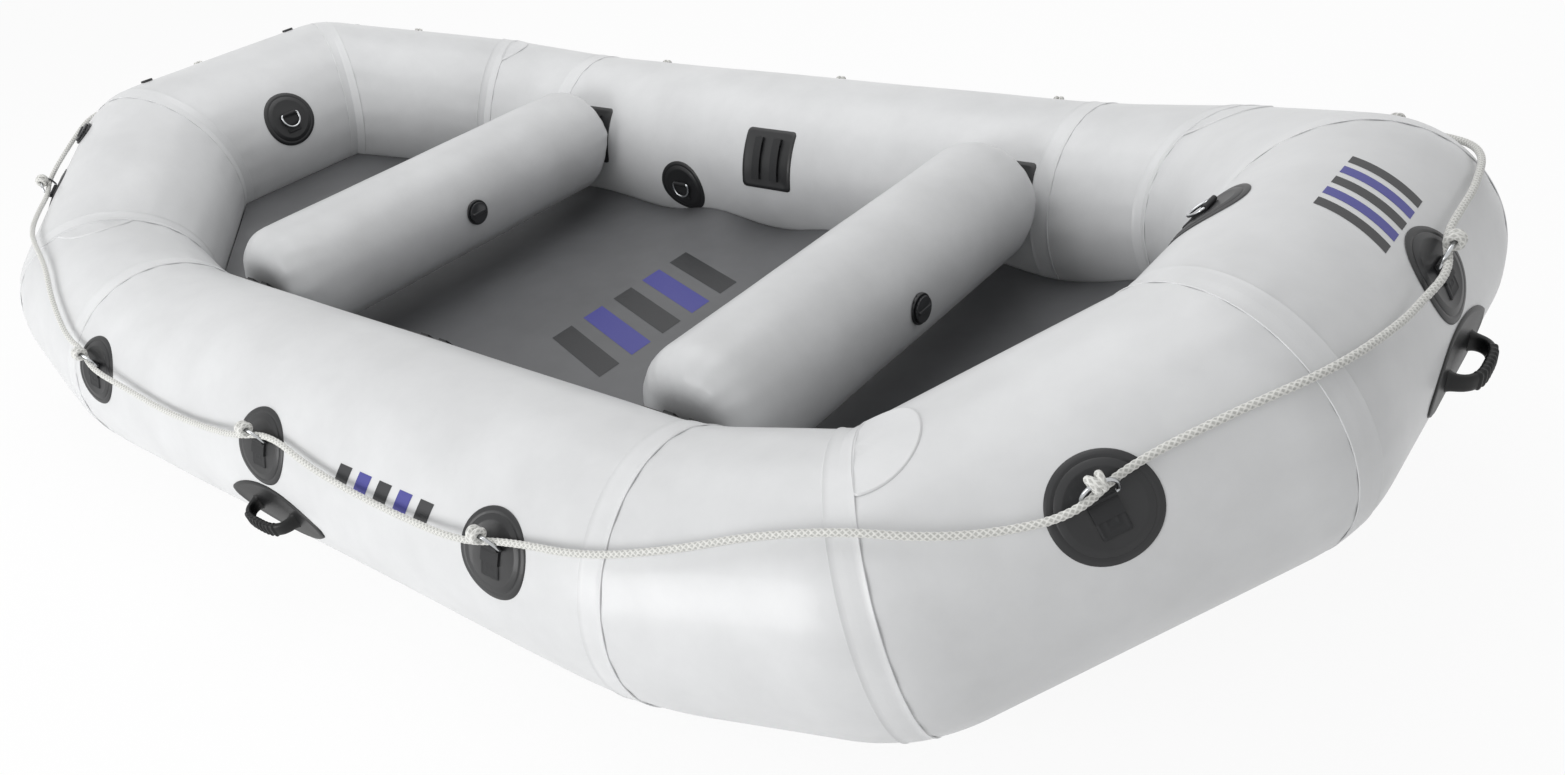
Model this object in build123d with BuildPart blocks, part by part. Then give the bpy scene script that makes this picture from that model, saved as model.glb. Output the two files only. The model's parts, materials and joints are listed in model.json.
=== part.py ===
"""Inflatable river raft: a ring of coated-fabric tube, a drop-stitch floor, two thwarts and its fittings.

Millimetres. X runs forward to the bow, Y to port, Z up. The origin is on the ground under the middle
of the hull, which is as long and as wide at the stern as at the bow.
"""

import os
from dataclasses import dataclass
from math import atan2, cos, degrees, radians, sin, tan

from build123d import *

os.makedirs("parts", exist_ok=True)

# ---------------------------------------------------------------- driving dimensions
skin = 1.2  # coated fabric, one ply
bond = 0.3  # glue line between two plies, and between any ply and what lies on it

# Ring tube: its outside radius, and where its axis turns
tube_radius = 240.0
side_half_width = 800.0  # side tube axis from the centreline
side_half_length = 870.0  # shoulder bend from amidships
quarter_x, quarter_y, quarter_rise = 1250.0, 722.0, 58.0
end_x, end_half_width, end_rise = 1605.0, 304.0, 227.0
shoulder_bend, quarter_bend, end_bend = 864.0, 125.0, 50.0
tape_width, tape_thickness = 50.0, 0.9
baffle_depth, baffle_collar = 90.0, 40.0  # bulge and glued edge of the wall between two air chambers
corner_patch_radius = 105.0
corner_patch_along, corner_patch_elevation = 0.086, 99.0  # from the quarter bend

# Floor: a drop-stitch mat whose ends kick up under the end tubes
floor_thickness = 120.0
floor_tuck = 110.0  # its edge reaches this far inside the line of the tube axis
floor_flat_half = 855.0
floor_knee_x, floor_knee_z = 1129.0, 104.0  # mid height of the mat where it kicks up again
floor_tip_x, floor_tip_z = 1450.0, 280.0
floor_tip_slope = 0.475  # rise of the mat's ends
floor_overrun = 200.0  # past the tip, before the hull trims it
floor_bend = 600.0
floor_skin = 1.5
yarn_radius, yarn_pitch, yarn_margin = 2.0, 170.0, 262.0

# Thwarts
thwart_radius = 152.0
thwart_x = 710.0  # axis of each thwart from amidships
thwart_z = 336.0
thwart_half_length = 575.0
thwart_end_round = 62.0
end_cap_depth = 84.0  # the cap's share of the thwart's length

# Patches and rings
patch_radius, patch_thickness = 81.0, 1.6
cover_radius, cover_thickness = 68.0, 1.4
strap_width, strap_thickness = 44.0, 2.0
strap_tail = 30.0
ring_wire = 3.0  # radius of the steel
ring_width, ring_height = 50.0, 34.0  # inside of the eye
ring_corner = 6.0
ring_play = 0.2  # between the steel and the strap round it
bar_lift = 15.0  # ring's bar above the middle of its patch, along the wall
ring_row_pitch = 706.0  # along the side tube
ring_row_shift = -46.0  # middle ring of the row from amidships
side_ring_elevation = 29.0
quarter_ring_elevation = 37.0
quarter_ring_along = 0.536  # share of the quarter tube, from its shoulder end
ring_stand = 55.0  # angle of a rope-held ring from the wall above it
ring_hang = 177.5  # and of a ring that hangs free
inner_bow_elevation, inner_stern_elevation, inner_side_elevation = 51.0, 17.0, -3.0
inner_side_x = -314.0

# Lifting handles
leaf_length, leaf_height, leaf_thickness = 350.0, 130.0, 2.6
leaf_tip_round = 20.0
grip_half_span, grip_rise = 68.0, 42.0  # middle of the band, at its foot and at its top
grip_shoulder, grip_bend = 56.0, 26.0
grip_thickness, grip_width, grip_edge_round = 14.0, 28.0, 4.0
rib_count, rib_width, rib_length, rib_height, rib_pitch = 9, 4.0, 22.0, 2.0, 8.0
handle_elevation = -10.5
end_handle_elevation = -3.0

# Thwart mounts on the inner walls
mount_size, mount_round = 168.0, 12.0
mount_elevation = 23.0
mount_lead = 18.0  # patch ahead of its thwart's axis
mount_middle_x = 10.0  # the patch amidships
mount_thickness = 2.5
mount_bar_width, mount_bar_span, mount_bar_gap = 25.0, 84.0, 6.0
mount_bar_foot, mount_bar_thickness = 16.0, 2.0
mount_bar_spread = 62.0  # between the middles of a patch's two straps

# Valves
flange_radius, flange_rise = 34.5, 4.0
neck_radius, bore_radius = 22.0, 18.0
neck_reach = 28.0  # below the outside of the fabric
nut_radius, nut_height = 32.0, 7.0
valve_fit = 0.2  # between turned and sliding valve pieces
seat_radius, seat_depth, seat_thickness = 13.0, 12.0, 2.0  # ledge that the poppet closes on
hub_radius, spoke_width = 6.6, 3.0
poppet_radius, poppet_thickness = 16.0, 2.4
stem_radius, button_radius, button_height = 3.0, 7.0, 2.0
coil_radius, coil_wire, coil_turns = 4.8, 0.5, 4
cap_radius, cap_height, cap_round = 29.0, 6.0, 1.5
plug_height, plug_wall = 4.0, 1.8
cap_grip_length, cap_grip_width, cap_grip_height = 44.0, 9.0, 4.0
cap_notch_count, cap_notch_radius = 18, 1.6
relief_radius, relief_height, relief_round = 17.0, 6.0, 2.0
relief_neck, relief_bore, relief_reach = 11.0, 8.0, 14.0
relief_slot_count, relief_slot_width, relief_slot_length = 8, 2.0, 8.0
valve_along, valve_elevation = 0.88, 53.0  # on the stern quarter tubes, from the shoulder end
relief_half_span, relief_elevation = 250.0, 78.0  # on the stern tube
floor_valve_x, floor_valve_y = -935.0, -255.0

# Grab line
rope_radius = 6.0
rope_stand = 18.0  # middle of the line from the wall it runs along
rope_corner_stand = 22.0  # and where it goes round a bend
rope_low_elevation = 36.0  # of the line where it doesn't climb
port_climb, starboard_climb = 0.15, 1.0  # slack that rides up over the quarter bends
hitch_radius = 10.0  # middle of a hitch's turn round a ring's crown
eye_reach = 17.0  # from a ring's bar to where the line goes through
crossing_half, crossing_slope, crossing_room = 46.0, 0.365, 12.0  # the line's straight run through a ring


# ---------------------------------------------------------------- the ring's axis and its bends
@dataclass
class Bend:
    """A corner of the tube's axis, rounded to a radius and parted by a seam in its middle."""

    before: Vector
    corner: Vector
    after: Vector
    radius: float

    def __post_init__(self):
        arriving = (self.corner - self.before).normalized()
        leaving = (self.after - self.corner).normalized()
        self.half_turn = arriving.get_angle(leaving) / 2
        self.along = (arriving + leaving).normalized()
        inward = (leaving - arriving).normalized()
        self.setback = self.radius * tan(radians(self.half_turn))
        self.centre = self.corner + inward * (self.radius / cos(radians(self.half_turn)))

    def seam(self, towards):
        """The seam's plane, with its normal pointing as towards does."""
        normal = self.along if self.along.dot(towards) > 0 else self.along * -1
        return Plane(origin=self.corner, z_dir=normal)


def mirrored(point, fore, side):
    """A point of the port bow quarter carried to another quarter: fore and side are 1 or -1."""
    return Vector(point.X * fore, point.Y * side, point.Z)


SHOULDER = Vector(side_half_length, side_half_width, tube_radius)
QUARTER = Vector(quarter_x, quarter_y, tube_radius + quarter_rise)
END = Vector(end_x, end_half_width, tube_radius + end_rise)

shoulder_corner = Bend(mirrored(SHOULDER, -1, 1), SHOULDER, QUARTER, shoulder_bend)
quarter_corner = Bend(SHOULDER, QUARTER, END, quarter_bend)
end_corner = Bend(QUARTER, END, mirrored(END, 1, -1), end_bend)
far_shoulder_corner = Bend(SHOULDER, mirrored(SHOULDER, -1, 1), mirrored(QUARTER, -1, 1), shoulder_bend)
far_end_corner = Bend(END, mirrored(END, 1, -1), mirrored(QUARTER, 1, -1), end_bend)


def tube_piece(first, last, radius, bore=0.0):
    """What a tube of this radius fills from one bend's seam to the next one's, less a bore along it."""
    run = (last.corner - first.corner).normalized()
    start = first.corner + run * first.setback
    stop = last.corner - run * last.setback
    with BuildPart() as piece:
        with BuildSketch(Plane(origin=start, z_dir=run)):
            Circle(radius)
            if bore:
                Circle(bore, mode=Mode.SUBTRACT)
        extrude(amount=(stop - start).length)
        for bend, walk in ((first, run * -1), (last, run)):
            if bend.radius < radius:
                split(bisect_by=bend.seam(walk), keep=Keep.BOTTOM)
        for bend, tangent, walk in ((first, start, run * -1), (last, stop, run)):
            outward = (tangent - bend.centre).normalized()
            with BuildSketch(Plane(origin=tangent, x_dir=outward, z_dir=walk)):
                Circle(radius)
                if bore:
                    Circle(bore, mode=Mode.SUBTRACT)
                if bend.radius < radius:
                    with Locations((-bend.radius, 0)):
                        Rectangle(
                            2 * radius, 2 * radius, align=(Align.MAX, Align.CENTER), mode=Mode.SUBTRACT
                        )
            revolve(axis=Axis(bend.centre, outward.cross(walk)), revolution_arc=bend.half_turn)
    return piece.part


def tube_body(first, last, radius):
    """The solid inside a length of tube."""
    return tube_piece(first, last, radius)


def tube_skin(first, last, outer, wall):
    """An open-ended length of tube wall between two seams."""
    return tube_piece(first, last, outer, outer - wall)


def to_quarter(shape, fore, side):
    """A shape of the port bow quarter carried to another quarter."""
    if fore < 0:
        shape = shape.mirror(Plane.YZ)
    if side < 0:
        shape = shape.mirror(Plane.XZ)
    return shape


def wall_seat(start, stop, share, elevation, facing, radius=tube_radius):
    """A plane on a tube's wall, x along the tube, y up the wall and z out of it.

    facing is 1 for the outer wall and -1 for the one that faces the well.
    """
    run = (stop - start).normalized()
    middle = start + (stop - start) * share
    level = run.cross(Vector(0, 0, 1)).normalized()
    if level.dot(Vector(middle.X, middle.Y, 0)) * facing < 0:
        level = level * -1
    upward = level.cross(run).normalized()
    if upward.Z < 0:
        upward = upward * -1
    out = level * cos(radians(elevation)) + upward * sin(radians(elevation))
    up_wall = upward * cos(radians(elevation)) - level * sin(radians(elevation))
    return Plane(origin=middle + out * radius, x_dir=up_wall.cross(out), z_dir=out)


def along_wall(distance):
    """The angle that this distance along a tube's wall takes, in degrees."""
    return degrees(distance / tube_radius)


def side_seat(x, elevation, side, facing):
    ends = (mirrored(SHOULDER, -1, side), mirrored(SHOULDER, 1, side))
    share = (x + side_half_length) / (2 * side_half_length)
    return wall_seat(*ends, share, elevation, facing)


def quarter_seat(fore, side, share, elevation, facing):
    ends = (mirrored(QUARTER, fore, side), mirrored(END, fore, side))
    return wall_seat(*ends, share, elevation, facing)


def end_seat(fore, y, elevation, facing):
    ends = (mirrored(END, fore, -1), mirrored(END, fore, 1))
    share = (y + end_half_width) / (2 * end_half_width)
    return wall_seat(*ends, share, elevation, facing)


WALL_AXIS = Plane(origin=(0, 0, -tube_radius), x_dir=(0, 1, 0), z_dir=(1, 0, 0))


def ply(outline, height, thickness):
    """A flat outline laid on the tube's wall as a curved ply, height above it, in a wall seat's frame."""
    reach = outline.bounding_box().diagonal
    with BuildPart() as piece:
        with BuildSketch(Plane.XY.offset(-tube_radius / 2)):
            add(outline)
        extrude(amount=tube_radius)
        with BuildSketch(WALL_AXIS):
            Circle(tube_radius + height + thickness)
            Circle(tube_radius + height, mode=Mode.SUBTRACT)
        extrude(amount=reach, both=True, mode=Mode.INTERSECT)
    return piece.part


def placed(shape, seats):
    """One copy of a shape at each of the seats, as one group."""
    with BuildPart() as group:
        for seat in seats:
            add(shape.moved(seat.location))
    return group.part


def save(shape, name):
    shape.label = name
    export_step(shape, f"parts/{name}.step")


def bend_seat(bend, elevation, facing=1):
    """A plane on the wall at a bend's seam, set out as wall_seat sets one out."""
    outward = (bend.corner - bend.centre).normalized()
    middle = bend.centre + outward * bend.radius
    return wall_seat(middle, middle + bend.along, 0, elevation, facing)


def quarter_bend(bend, fore, side):
    """A bend of the port bow quarter carried to another quarter."""
    points = [mirrored(point, fore, side) for point in (bend.before, bend.corner, bend.after)]
    return Bend(*points, bend.radius)


# ---------------------------------------------------------------- where the fittings sit
ring_row = [ring_row_shift + ring_row_pitch * step for step in (-1, 0, 1)]


def rope_ring_seats(drop=0.0):
    """The seats of the grab line's rings; drop is how far below a ring's bar they are taken."""
    less = along_wall(drop)
    seats = [end_seat(fore, 0, quarter_ring_elevation - less, 1) for fore in (1, -1)]
    for side in (1, -1):
        seats += [side_seat(x, side_ring_elevation - less, side, 1) for x in ring_row]
        for fore in (1, -1):
            place = (fore, side, quarter_ring_along)
            seats.append(quarter_seat(*place, quarter_ring_elevation - less, 1))
    return seats


def free_ring_seats(drop=0.0):
    """The seats of the rings inside the wells, by name."""
    less = along_wall(drop)
    seats = {
        "bow": end_seat(1, 0, inner_bow_elevation - less, -1),
        "stern": end_seat(-1, 0, inner_stern_elevation - less, -1),
    }
    for side, side_name in ((1, "port"), (-1, "starboard")):
        seats[f"{side_name}_aft"] = side_seat(inner_side_x, inner_side_elevation - less, side, -1)
    return seats


handle_seats = {
    "bow": end_seat(1, 0, end_handle_elevation, 1),
    "stern": end_seat(-1, 0, end_handle_elevation, 1),
    "port": side_seat(ring_row_shift, handle_elevation, 1, 1),
    "starboard": side_seat(ring_row_shift, handle_elevation, -1, 1),
}
mount_xs = (mount_middle_x, thwart_x + mount_lead, mount_lead - thwart_x)
mount_seats = [side_seat(x, mount_elevation, side, -1) for side in (1, -1) for x in mount_xs]
quarter_valve_seats = {
    "port_quarter": quarter_seat(-1, 1, valve_along, valve_elevation, 1),
    "starboard_quarter": quarter_seat(-1, -1, valve_along, valve_elevation, 1),
}
thwart_valve_seats = {
    "bow_thwart": Plane(origin=(thwart_x + thwart_radius, 0, thwart_z), x_dir=(0, 1, 0), z_dir=(1, 0, 0)),
    "stern_thwart": Plane(origin=(thwart_radius - thwart_x, 0, thwart_z), x_dir=(0, 1, 0), z_dir=(1, 0, 0)),
}
relief_seats = [
    end_seat(-1, side * relief_half_span, relief_elevation, 1) for side in (1, -1)
]


# ---------------------------------------------------------------- ring tubes
def drill(shape, seats, radius):
    """Round holes cut through a skin at each of the seats."""
    with BuildPart() as skin_piece:
        add(shape)
        for seat in seats:
            with BuildSketch(seat):
                Circle(radius)
            extrude(amount=neck_reach, both=True, mode=Mode.SUBTRACT)
    return skin_piece.part


hull_bends = {
    "side": (far_shoulder_corner, shoulder_corner),
    "shoulder": (shoulder_corner, quarter_corner),
    "quarter": (quarter_corner, end_corner),
    "end": (end_corner, far_end_corner),
}
hull_skins = {name: tube_skin(*pair, tube_radius, skin) for name, pair in hull_bends.items()}


def ring_of(shapes):
    """The whole ring from its four kinds of tube, as a list."""
    pieces = [shapes["side"], to_quarter(shapes["side"], 1, -1), shapes["end"], to_quarter(shapes["end"], -1, 1)]
    for name in ("shoulder", "quarter"):
        pieces += [to_quarter(shapes[name], fore, side) for fore in (1, -1) for side in (1, -1)]
    return pieces


def hull_grown(gap):
    """The solids that the ring's tubes would fill if they stood proud of their skins by this gap."""
    return ring_of({name: tube_body(*pair, tube_radius + gap) for name, pair in hull_bends.items()})


hole_radius = neck_radius + bond
for side, side_name in ((1, "port"), (-1, "starboard")):
    save(to_quarter(hull_skins["side"], 1, side), f"side_tube_{side_name}")
    for fore, fore_name in ((1, "bow"), (-1, "stern")):
        save(to_quarter(hull_skins["shoulder"], fore, side), f"{fore_name}_shoulder_{side_name}")
        quarter_skin = to_quarter(hull_skins["quarter"], fore, side)
        if fore < 0:
            quarter_skin = drill(quarter_skin, [quarter_valve_seats[f"{side_name}_quarter"]], hole_radius)
        save(quarter_skin, f"{fore_name}_quarter_{side_name}")
save(hull_skins["end"], "bow_end_tube")
save(drill(to_quarter(hull_skins["end"], -1, 1), relief_seats, relief_neck + bond), "stern_end_tube")


def seam_band(bend, name):
    """The tape over one of the seams of the tube of this name, on that tube's side of the seam."""
    shell = tube_skin(*hull_bends[name], tube_radius + bond + tape_thickness, tape_thickness)
    with BuildPart() as band:
        with BuildSketch(bend.seam(bend.along)):
            Rectangle(4 * tube_radius, 4 * tube_radius)
        extrude(amount=tape_width / 2, both=True)
        add(shell, mode=Mode.INTERSECT)
    return band.part


seam_sides = (
    (shoulder_corner, "side"),
    (shoulder_corner, "shoulder"),
    (quarter_corner, "shoulder"),
    (quarter_corner, "quarter"),
    (end_corner, "quarter"),
    (end_corner, "end"),
)
quarter_bands = [seam_band(*seam_side) for seam_side in seam_sides]
with BuildPart() as quarter_tapes:
    for band in quarter_bands:
        add(band)
tape_copies = [to_quarter(quarter_tapes.part, fore, side) for fore in (1, -1) for side in (1, -1)]
with BuildPart() as seam_tapes:
    for tape_copy in tape_copies:
        add(tape_copy)
save(seam_tapes.part, "seam_tapes")

# Round fabric patches over the top of the quarter seams, above the tapes
patch_foot = bond + tape_thickness + bond
patch_skins = [
    tube_skin(*hull_bends[name], tube_radius + patch_foot + skin, skin) for name in ("shoulder", "quarter")
]
with BuildPart() as patch_shell:
    add(patch_skins)
corner_patch_seat = quarter_seat(1, 1, corner_patch_along, corner_patch_elevation, 1)
with BuildPart() as corner_patch:
    with BuildSketch(corner_patch_seat):
        Circle(corner_patch_radius)
    extrude(amount=tube_radius / 2, both=True)
    add(patch_shell.part, mode=Mode.INTERSECT)
patch_copies = [to_quarter(corner_patch.part, fore, side) for fore in (1, -1) for side in (1, -1)]
with BuildPart() as corner_patches:
    for patch_copy in patch_copies:
        add(patch_copy)
save(corner_patches.part, "corner_patches")

# Baffles part the ring into a port and a starboard chamber, at the middle of the bow and of the stern
baffle_radius = tube_radius - skin - bond
with BuildPart() as baffle:
    with BuildSketch(Plane(origin=(end_x, 0, tube_radius + end_rise), x_dir=(0, 0, 1), z_dir=(1, 0, 0))):
        with BuildLine() as outside:
            Line((baffle_radius, -baffle_collar), (baffle_radius, 0))
            Spline((baffle_radius, 0), (0, baffle_depth), tangents=((0, 1), (-1, 0)))
            Line((0, baffle_depth), (0, baffle_depth - skin))
            Spline(
                (0, baffle_depth - skin), (baffle_radius - skin, 0), tangents=((1, 0), (0, -1))
            )
            Line((baffle_radius - skin, 0), (baffle_radius - skin, -baffle_collar))
            Line((baffle_radius - skin, -baffle_collar), (baffle_radius, -baffle_collar))
        make_face()
    revolve(axis=Axis((end_x, 0, tube_radius + end_rise), (0, 1, 0)))
with BuildPart() as chamber_baffles:
    add(baffle.part)
    mirror(about=Plane.YZ)
save(chamber_baffles.part, "chamber_baffles")


# ---------------------------------------------------------------- floor
def floor_profile(thickness):
    """A slab as thick as this about the middle of the mat, as wide as the hull."""
    ends = [
        (floor_tip_x + floor_overrun, floor_tip_z + floor_overrun * floor_tip_slope),
        (floor_knee_x, floor_knee_z),
        (floor_flat_half, floor_thickness / 2),
    ]
    points = ends + [(-x, z) for x, z in reversed(ends)]
    with BuildPart() as slab:
        with BuildSketch(Plane.XZ):
            with BuildLine() as middle:
                FilletPolyline(*points, radius=floor_bend)
            trace(line_width=thickness)
        extrude(amount=2 * side_half_width, both=True)
    return slab.part


def floor_plan(tuck):
    """The prism inside the tube's axis, drawn in by tuck."""
    port = [(point.X, point.Y) for point in (END, QUARTER, SHOULDER)]
    port += [(-x, y) for x, y in reversed(port)]
    with BuildPart() as prism:
        with BuildSketch():
            with BuildLine():
                Polyline(*port, *[(x, -y) for x, y in reversed(port)], close=True)
            make_face()
            offset(amount=-tuck, kind=Kind.INTERSECTION)
        extrude(amount=4 * tube_radius)
        extrude(prism.faces().sort_by(Axis.Z)[0], amount=tube_radius)
    return prism.part


def floor_solid(profile, plan, hull):
    """The slab inside the plan and clear of the hull."""
    with BuildPart() as mat:
        add(profile)
        add(plan, mode=Mode.INTERSECT)
        for tube in hull:
            add(tube, mode=Mode.SUBTRACT)
    return mat.part


floor_gap = patch_foot  # the mat's edge lies over the seam tapes
full_profile = floor_profile(floor_thickness)
inner_profile = floor_profile(floor_thickness - 2 * floor_skin)
outer_plan = floor_plan(floor_tuck)
inner_plan = floor_plan(floor_tuck + floor_skin)
near_hull = hull_grown(floor_gap)
clear_hull = hull_grown(floor_gap + floor_skin)

mat_full = floor_solid(full_profile, outer_plan, near_hull)
mat_core = floor_solid(inner_profile, outer_plan, near_hull)
mat_air = floor_solid(inner_profile, inner_plan, clear_hull)
with BuildPart() as floor_sheets:
    add(mat_full)
    add(inner_profile, mode=Mode.SUBTRACT)
sheets = floor_sheets.solids().sort_by(Axis.Z)

# A flat seat for the mat's valve, where the mat slopes up to the stern
slope = atan2(floor_knee_z - floor_thickness / 2, floor_knee_x - floor_flat_half)
slope_normal = Vector(sin(slope), 0, cos(slope))
slope_middle = floor_thickness / 2 + (-floor_valve_x - floor_flat_half) * tan(slope)
slope_point = Vector(floor_valve_x, floor_valve_y, slope_middle) + slope_normal * (floor_thickness / 2)
floor_valve_seat = Plane(origin=slope_point, x_dir=(0, 1, 0), z_dir=slope_normal)

with BuildPart() as floor_bottom_skin:
    add(sheets[0])
save(floor_bottom_skin.part, "floor_bottom_skin")
save(drill(sheets[-1], [floor_valve_seat], hole_radius), "floor_top_skin")
with BuildPart() as floor_side_wall:
    add(mat_core)
    add(mat_air, mode=Mode.SUBTRACT)
save(floor_side_wall.part, "floor_side_wall")

# The yarns that hold the two sheets level
yarn_zone = floor_plan(yarn_margin).solid()
yarn_columns = range(-int(end_x / yarn_pitch), int(end_x / yarn_pitch) + 1)
yarn_rows = range(-int(side_half_width / yarn_pitch), int(side_half_width / yarn_pitch) + 1)
yarn_spots = [Vector(column * yarn_pitch, row * yarn_pitch, 0) for column in yarn_columns for row in yarn_rows]
with BuildPart() as drop_stitch_yarns:
    with BuildSketch():
        with Locations(*[spot for spot in yarn_spots if yarn_zone.is_inside(spot)]):
            Circle(yarn_radius)
    extrude(amount=2 * tube_radius)
    add(mat_air, mode=Mode.INTERSECT)
save(drop_stitch_yarns.part, "drop_stitch_yarns")


# ---------------------------------------------------------------- thwarts
mount_top = bond + mount_thickness
thwart_gap = mount_top + mount_bar_gap + mount_bar_thickness + bond  # the ends rest on the mount straps
barrel_half = thwart_half_length - end_cap_depth


def cap_solid(inset):
    """The port end of a thwart, drawn in by inset, saddled to clear the side tube."""
    tube = tube_body(*hull_bends["side"], tube_radius + thwart_gap + inset)
    with BuildPart() as cap:
        with BuildSketch(Plane(origin=(thwart_x, barrel_half, thwart_z), z_dir=(0, 1, 0))):
            Circle(thwart_radius - inset)
        extrude(amount=end_cap_depth - inset)
        fillet(cap.faces().sort_by(Axis.Y)[-1].edges(), thwart_end_round - inset)
        add(tube, mode=Mode.SUBTRACT)
    return cap.part


with BuildPart() as thwart_barrel:
    with BuildSketch(Plane(origin=(thwart_x, 0, thwart_z), z_dir=(0, 1, 0))):
        Circle(thwart_radius)
        Circle(thwart_radius - skin, mode=Mode.SUBTRACT)
    extrude(amount=barrel_half, both=True)
bow_barrel = drill(thwart_barrel.part, [thwart_valve_seats["bow_thwart"]], hole_radius)
cap_outside, cap_inside = cap_solid(0), cap_solid(skin)
with BuildPart() as thwart_ends:
    add(cap_outside)
    add(cap_inside, mode=Mode.SUBTRACT)
    mirror(about=Plane.XZ)
to_stern = Location((-2 * thwart_x, 0, 0))
save(bow_barrel, "bow_thwart_barrel")
save(bow_barrel.moved(to_stern), "stern_thwart_barrel")
save(thwart_ends.part, "bow_thwart_ends")
save(thwart_ends.part.mirror(Plane.YZ), "stern_thwart_ends")


# ---------------------------------------------------------------- rings and their patches
cover_foot = bond + patch_thickness + bond
strap_foot = cover_foot + cover_thickness + bond
bar_height = strap_foot + strap_thickness + ring_play + ring_wire
loop_bore = ring_wire + ring_play

with BuildSketch() as patch_disc:
    Circle(patch_radius)
with BuildSketch() as cover_disc:
    Circle(cover_radius)
with BuildSketch() as tail_outline:
    Rectangle(strap_width, strap_tail, align=(Align.CENTER, Align.MAX))
ring_patch = ply(patch_disc.sketch, bond, patch_thickness)
ring_cover = ply(cover_disc.sketch, cover_foot, cover_thickness)
strap_tail_ply = ply(tail_outline.sketch, strap_foot, 2 * strap_thickness)
with BuildPart() as ring_strap:
    add(strap_tail_ply)
    with BuildSketch(Plane(origin=(0, 0, bar_height), x_dir=(0, 1, 0), z_dir=(1, 0, 0))):
        Circle(loop_bore + strap_thickness)
    extrude(amount=strap_width / 2, both=True)
    with BuildSketch(Plane(origin=(0, 0, bar_height), x_dir=(0, 1, 0), z_dir=(1, 0, 0))):
        Circle(loop_bore)
    extrude(amount=strap_width, both=True, mode=Mode.SUBTRACT)


def steel_ring(angle):
    """A D-shaped ring whose bar lies in a strap, at this angle from the wall above it."""
    turn = radians(angle)
    lying = Plane(origin=(0, 0, bar_height), x_dir=(1, 0, 0), z_dir=(0, -sin(turn), cos(turn)))
    half = ring_width / 2 + ring_wire
    crown = ring_height + 2 * ring_wire
    with BuildPart() as ring:
        with BuildLine(lying) as outline:
            FilletPolyline(
                (-half, crown - half), (-half, 0), (half, 0), (half, crown - half), radius=ring_corner
            )
            ThreePointArc((half, crown - half), (0, crown), (-half, crown - half))
        path = outline.wire()
        with BuildSketch(Plane(origin=path @ 0, z_dir=path % 0)):
            Circle(ring_wire)
        sweep(path=path)
    return ring.part


rope_seats, free_seats = rope_ring_seats(), free_ring_seats()
all_bar_seats = rope_seats + list(free_seats.values())
all_patch_seats = rope_ring_seats(bar_lift) + list(free_ring_seats(bar_lift).values())
save(placed(ring_patch, all_patch_seats), "ring_base_patches")
save(placed(ring_cover, all_patch_seats), "ring_cover_patches")
save(placed(ring_strap.part, all_bar_seats), "ring_straps")
save(placed(steel_ring(ring_stand), rope_seats), "line_rings")
for name, seat in free_seats.items():
    save(placed(steel_ring(ring_hang), [seat]), f"{name}_ring")


# ---------------------------------------------------------------- lifting handles
grip_foot = bond + leaf_thickness + bond
with BuildSketch() as leaf_outline:
    with BuildLine():
        ThreePointArc((-leaf_length / 2, 0), (0, leaf_height / 2), (leaf_length / 2, 0))
        ThreePointArc((leaf_length / 2, 0), (0, -leaf_height / 2), (-leaf_length / 2, 0))
    make_face()
    fillet(leaf_outline.vertices(), leaf_tip_round)
handle_leaf = ply(leaf_outline.sketch, bond, leaf_thickness)
with BuildPart() as grip:
    with BuildSketch(Plane.XZ):
        with BuildLine():
            FilletPolyline(
                (-grip_half_span, 0),
                (-grip_shoulder, grip_rise),
                (grip_shoulder, grip_rise),
                (grip_half_span, 0),
                radius=grip_bend,
            )
        trace(line_width=grip_thickness)
    extrude(amount=grip_width / 2, both=True)
    fillet(grip.faces().filter_by(Axis.Y).edges(), grip_edge_round)
    with Locations((0, 0, grip_rise + grip_thickness / 2)):
        with GridLocations(rib_pitch, 0, rib_count, 1):
            Box(rib_width, rib_length, 2 * rib_height)
    with BuildSketch(WALL_AXIS):
        Circle(tube_radius + grip_foot)
    extrude(amount=leaf_length, both=True, mode=Mode.SUBTRACT)
save(placed(handle_leaf, handle_seats.values()), "handle_patches")
for name, seat in handle_seats.items():
    save(placed(grip.part, [seat]), f"{name}_handle")


# ---------------------------------------------------------------- thwart mounts
def hull_ply(seat, side, outline, height, thickness):
    """A flat outline laid as a ply on a side tube, bends and all, height above its skin."""
    shell = tube_skin(*hull_bends["side"], tube_radius + height + thickness, thickness)
    with BuildPart() as piece:
        with BuildSketch(seat):
            add(outline)
        extrude(amount=tube_radius / 2, both=True)
        add(to_quarter(shell, 1, side), mode=Mode.INTERSECT)
    return piece.part


with BuildSketch() as mount_outline:
    RectangleRounded(mount_size, mount_size, mount_round)
with BuildSketch() as bar_outline:
    with GridLocations(mount_bar_spread, 0, 2, 1):
        Rectangle(mount_bar_width, mount_bar_span + 2 * mount_bar_foot)
with BuildSketch() as foot_outline:
    with GridLocations(mount_bar_spread, mount_bar_span + mount_bar_foot, 2, 2):
        Rectangle(mount_bar_width, mount_bar_foot)
mount_plies, bar_plies = [], []
for index, seat in enumerate(mount_seats):
    side = 1 if index < len(mount_xs) else -1
    mount_plies.append(hull_ply(seat, side, mount_outline.sketch, bond, mount_thickness))
    bar_plies.append(
        hull_ply(seat, side, bar_outline.sketch, mount_top + mount_bar_gap, mount_bar_thickness)
    )
    foot_height = mount_bar_gap + mount_bar_thickness - bond
    bar_plies.append(hull_ply(seat, side, foot_outline.sketch, mount_top + bond, foot_height))
with BuildPart() as mount_patches:
    for piece in mount_plies:
        add(piece)
with BuildPart() as mount_straps:
    for piece in bar_plies:
        add(piece)
save(mount_patches.part, "mount_patches")
save(mount_straps.part, "mount_straps")


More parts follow.
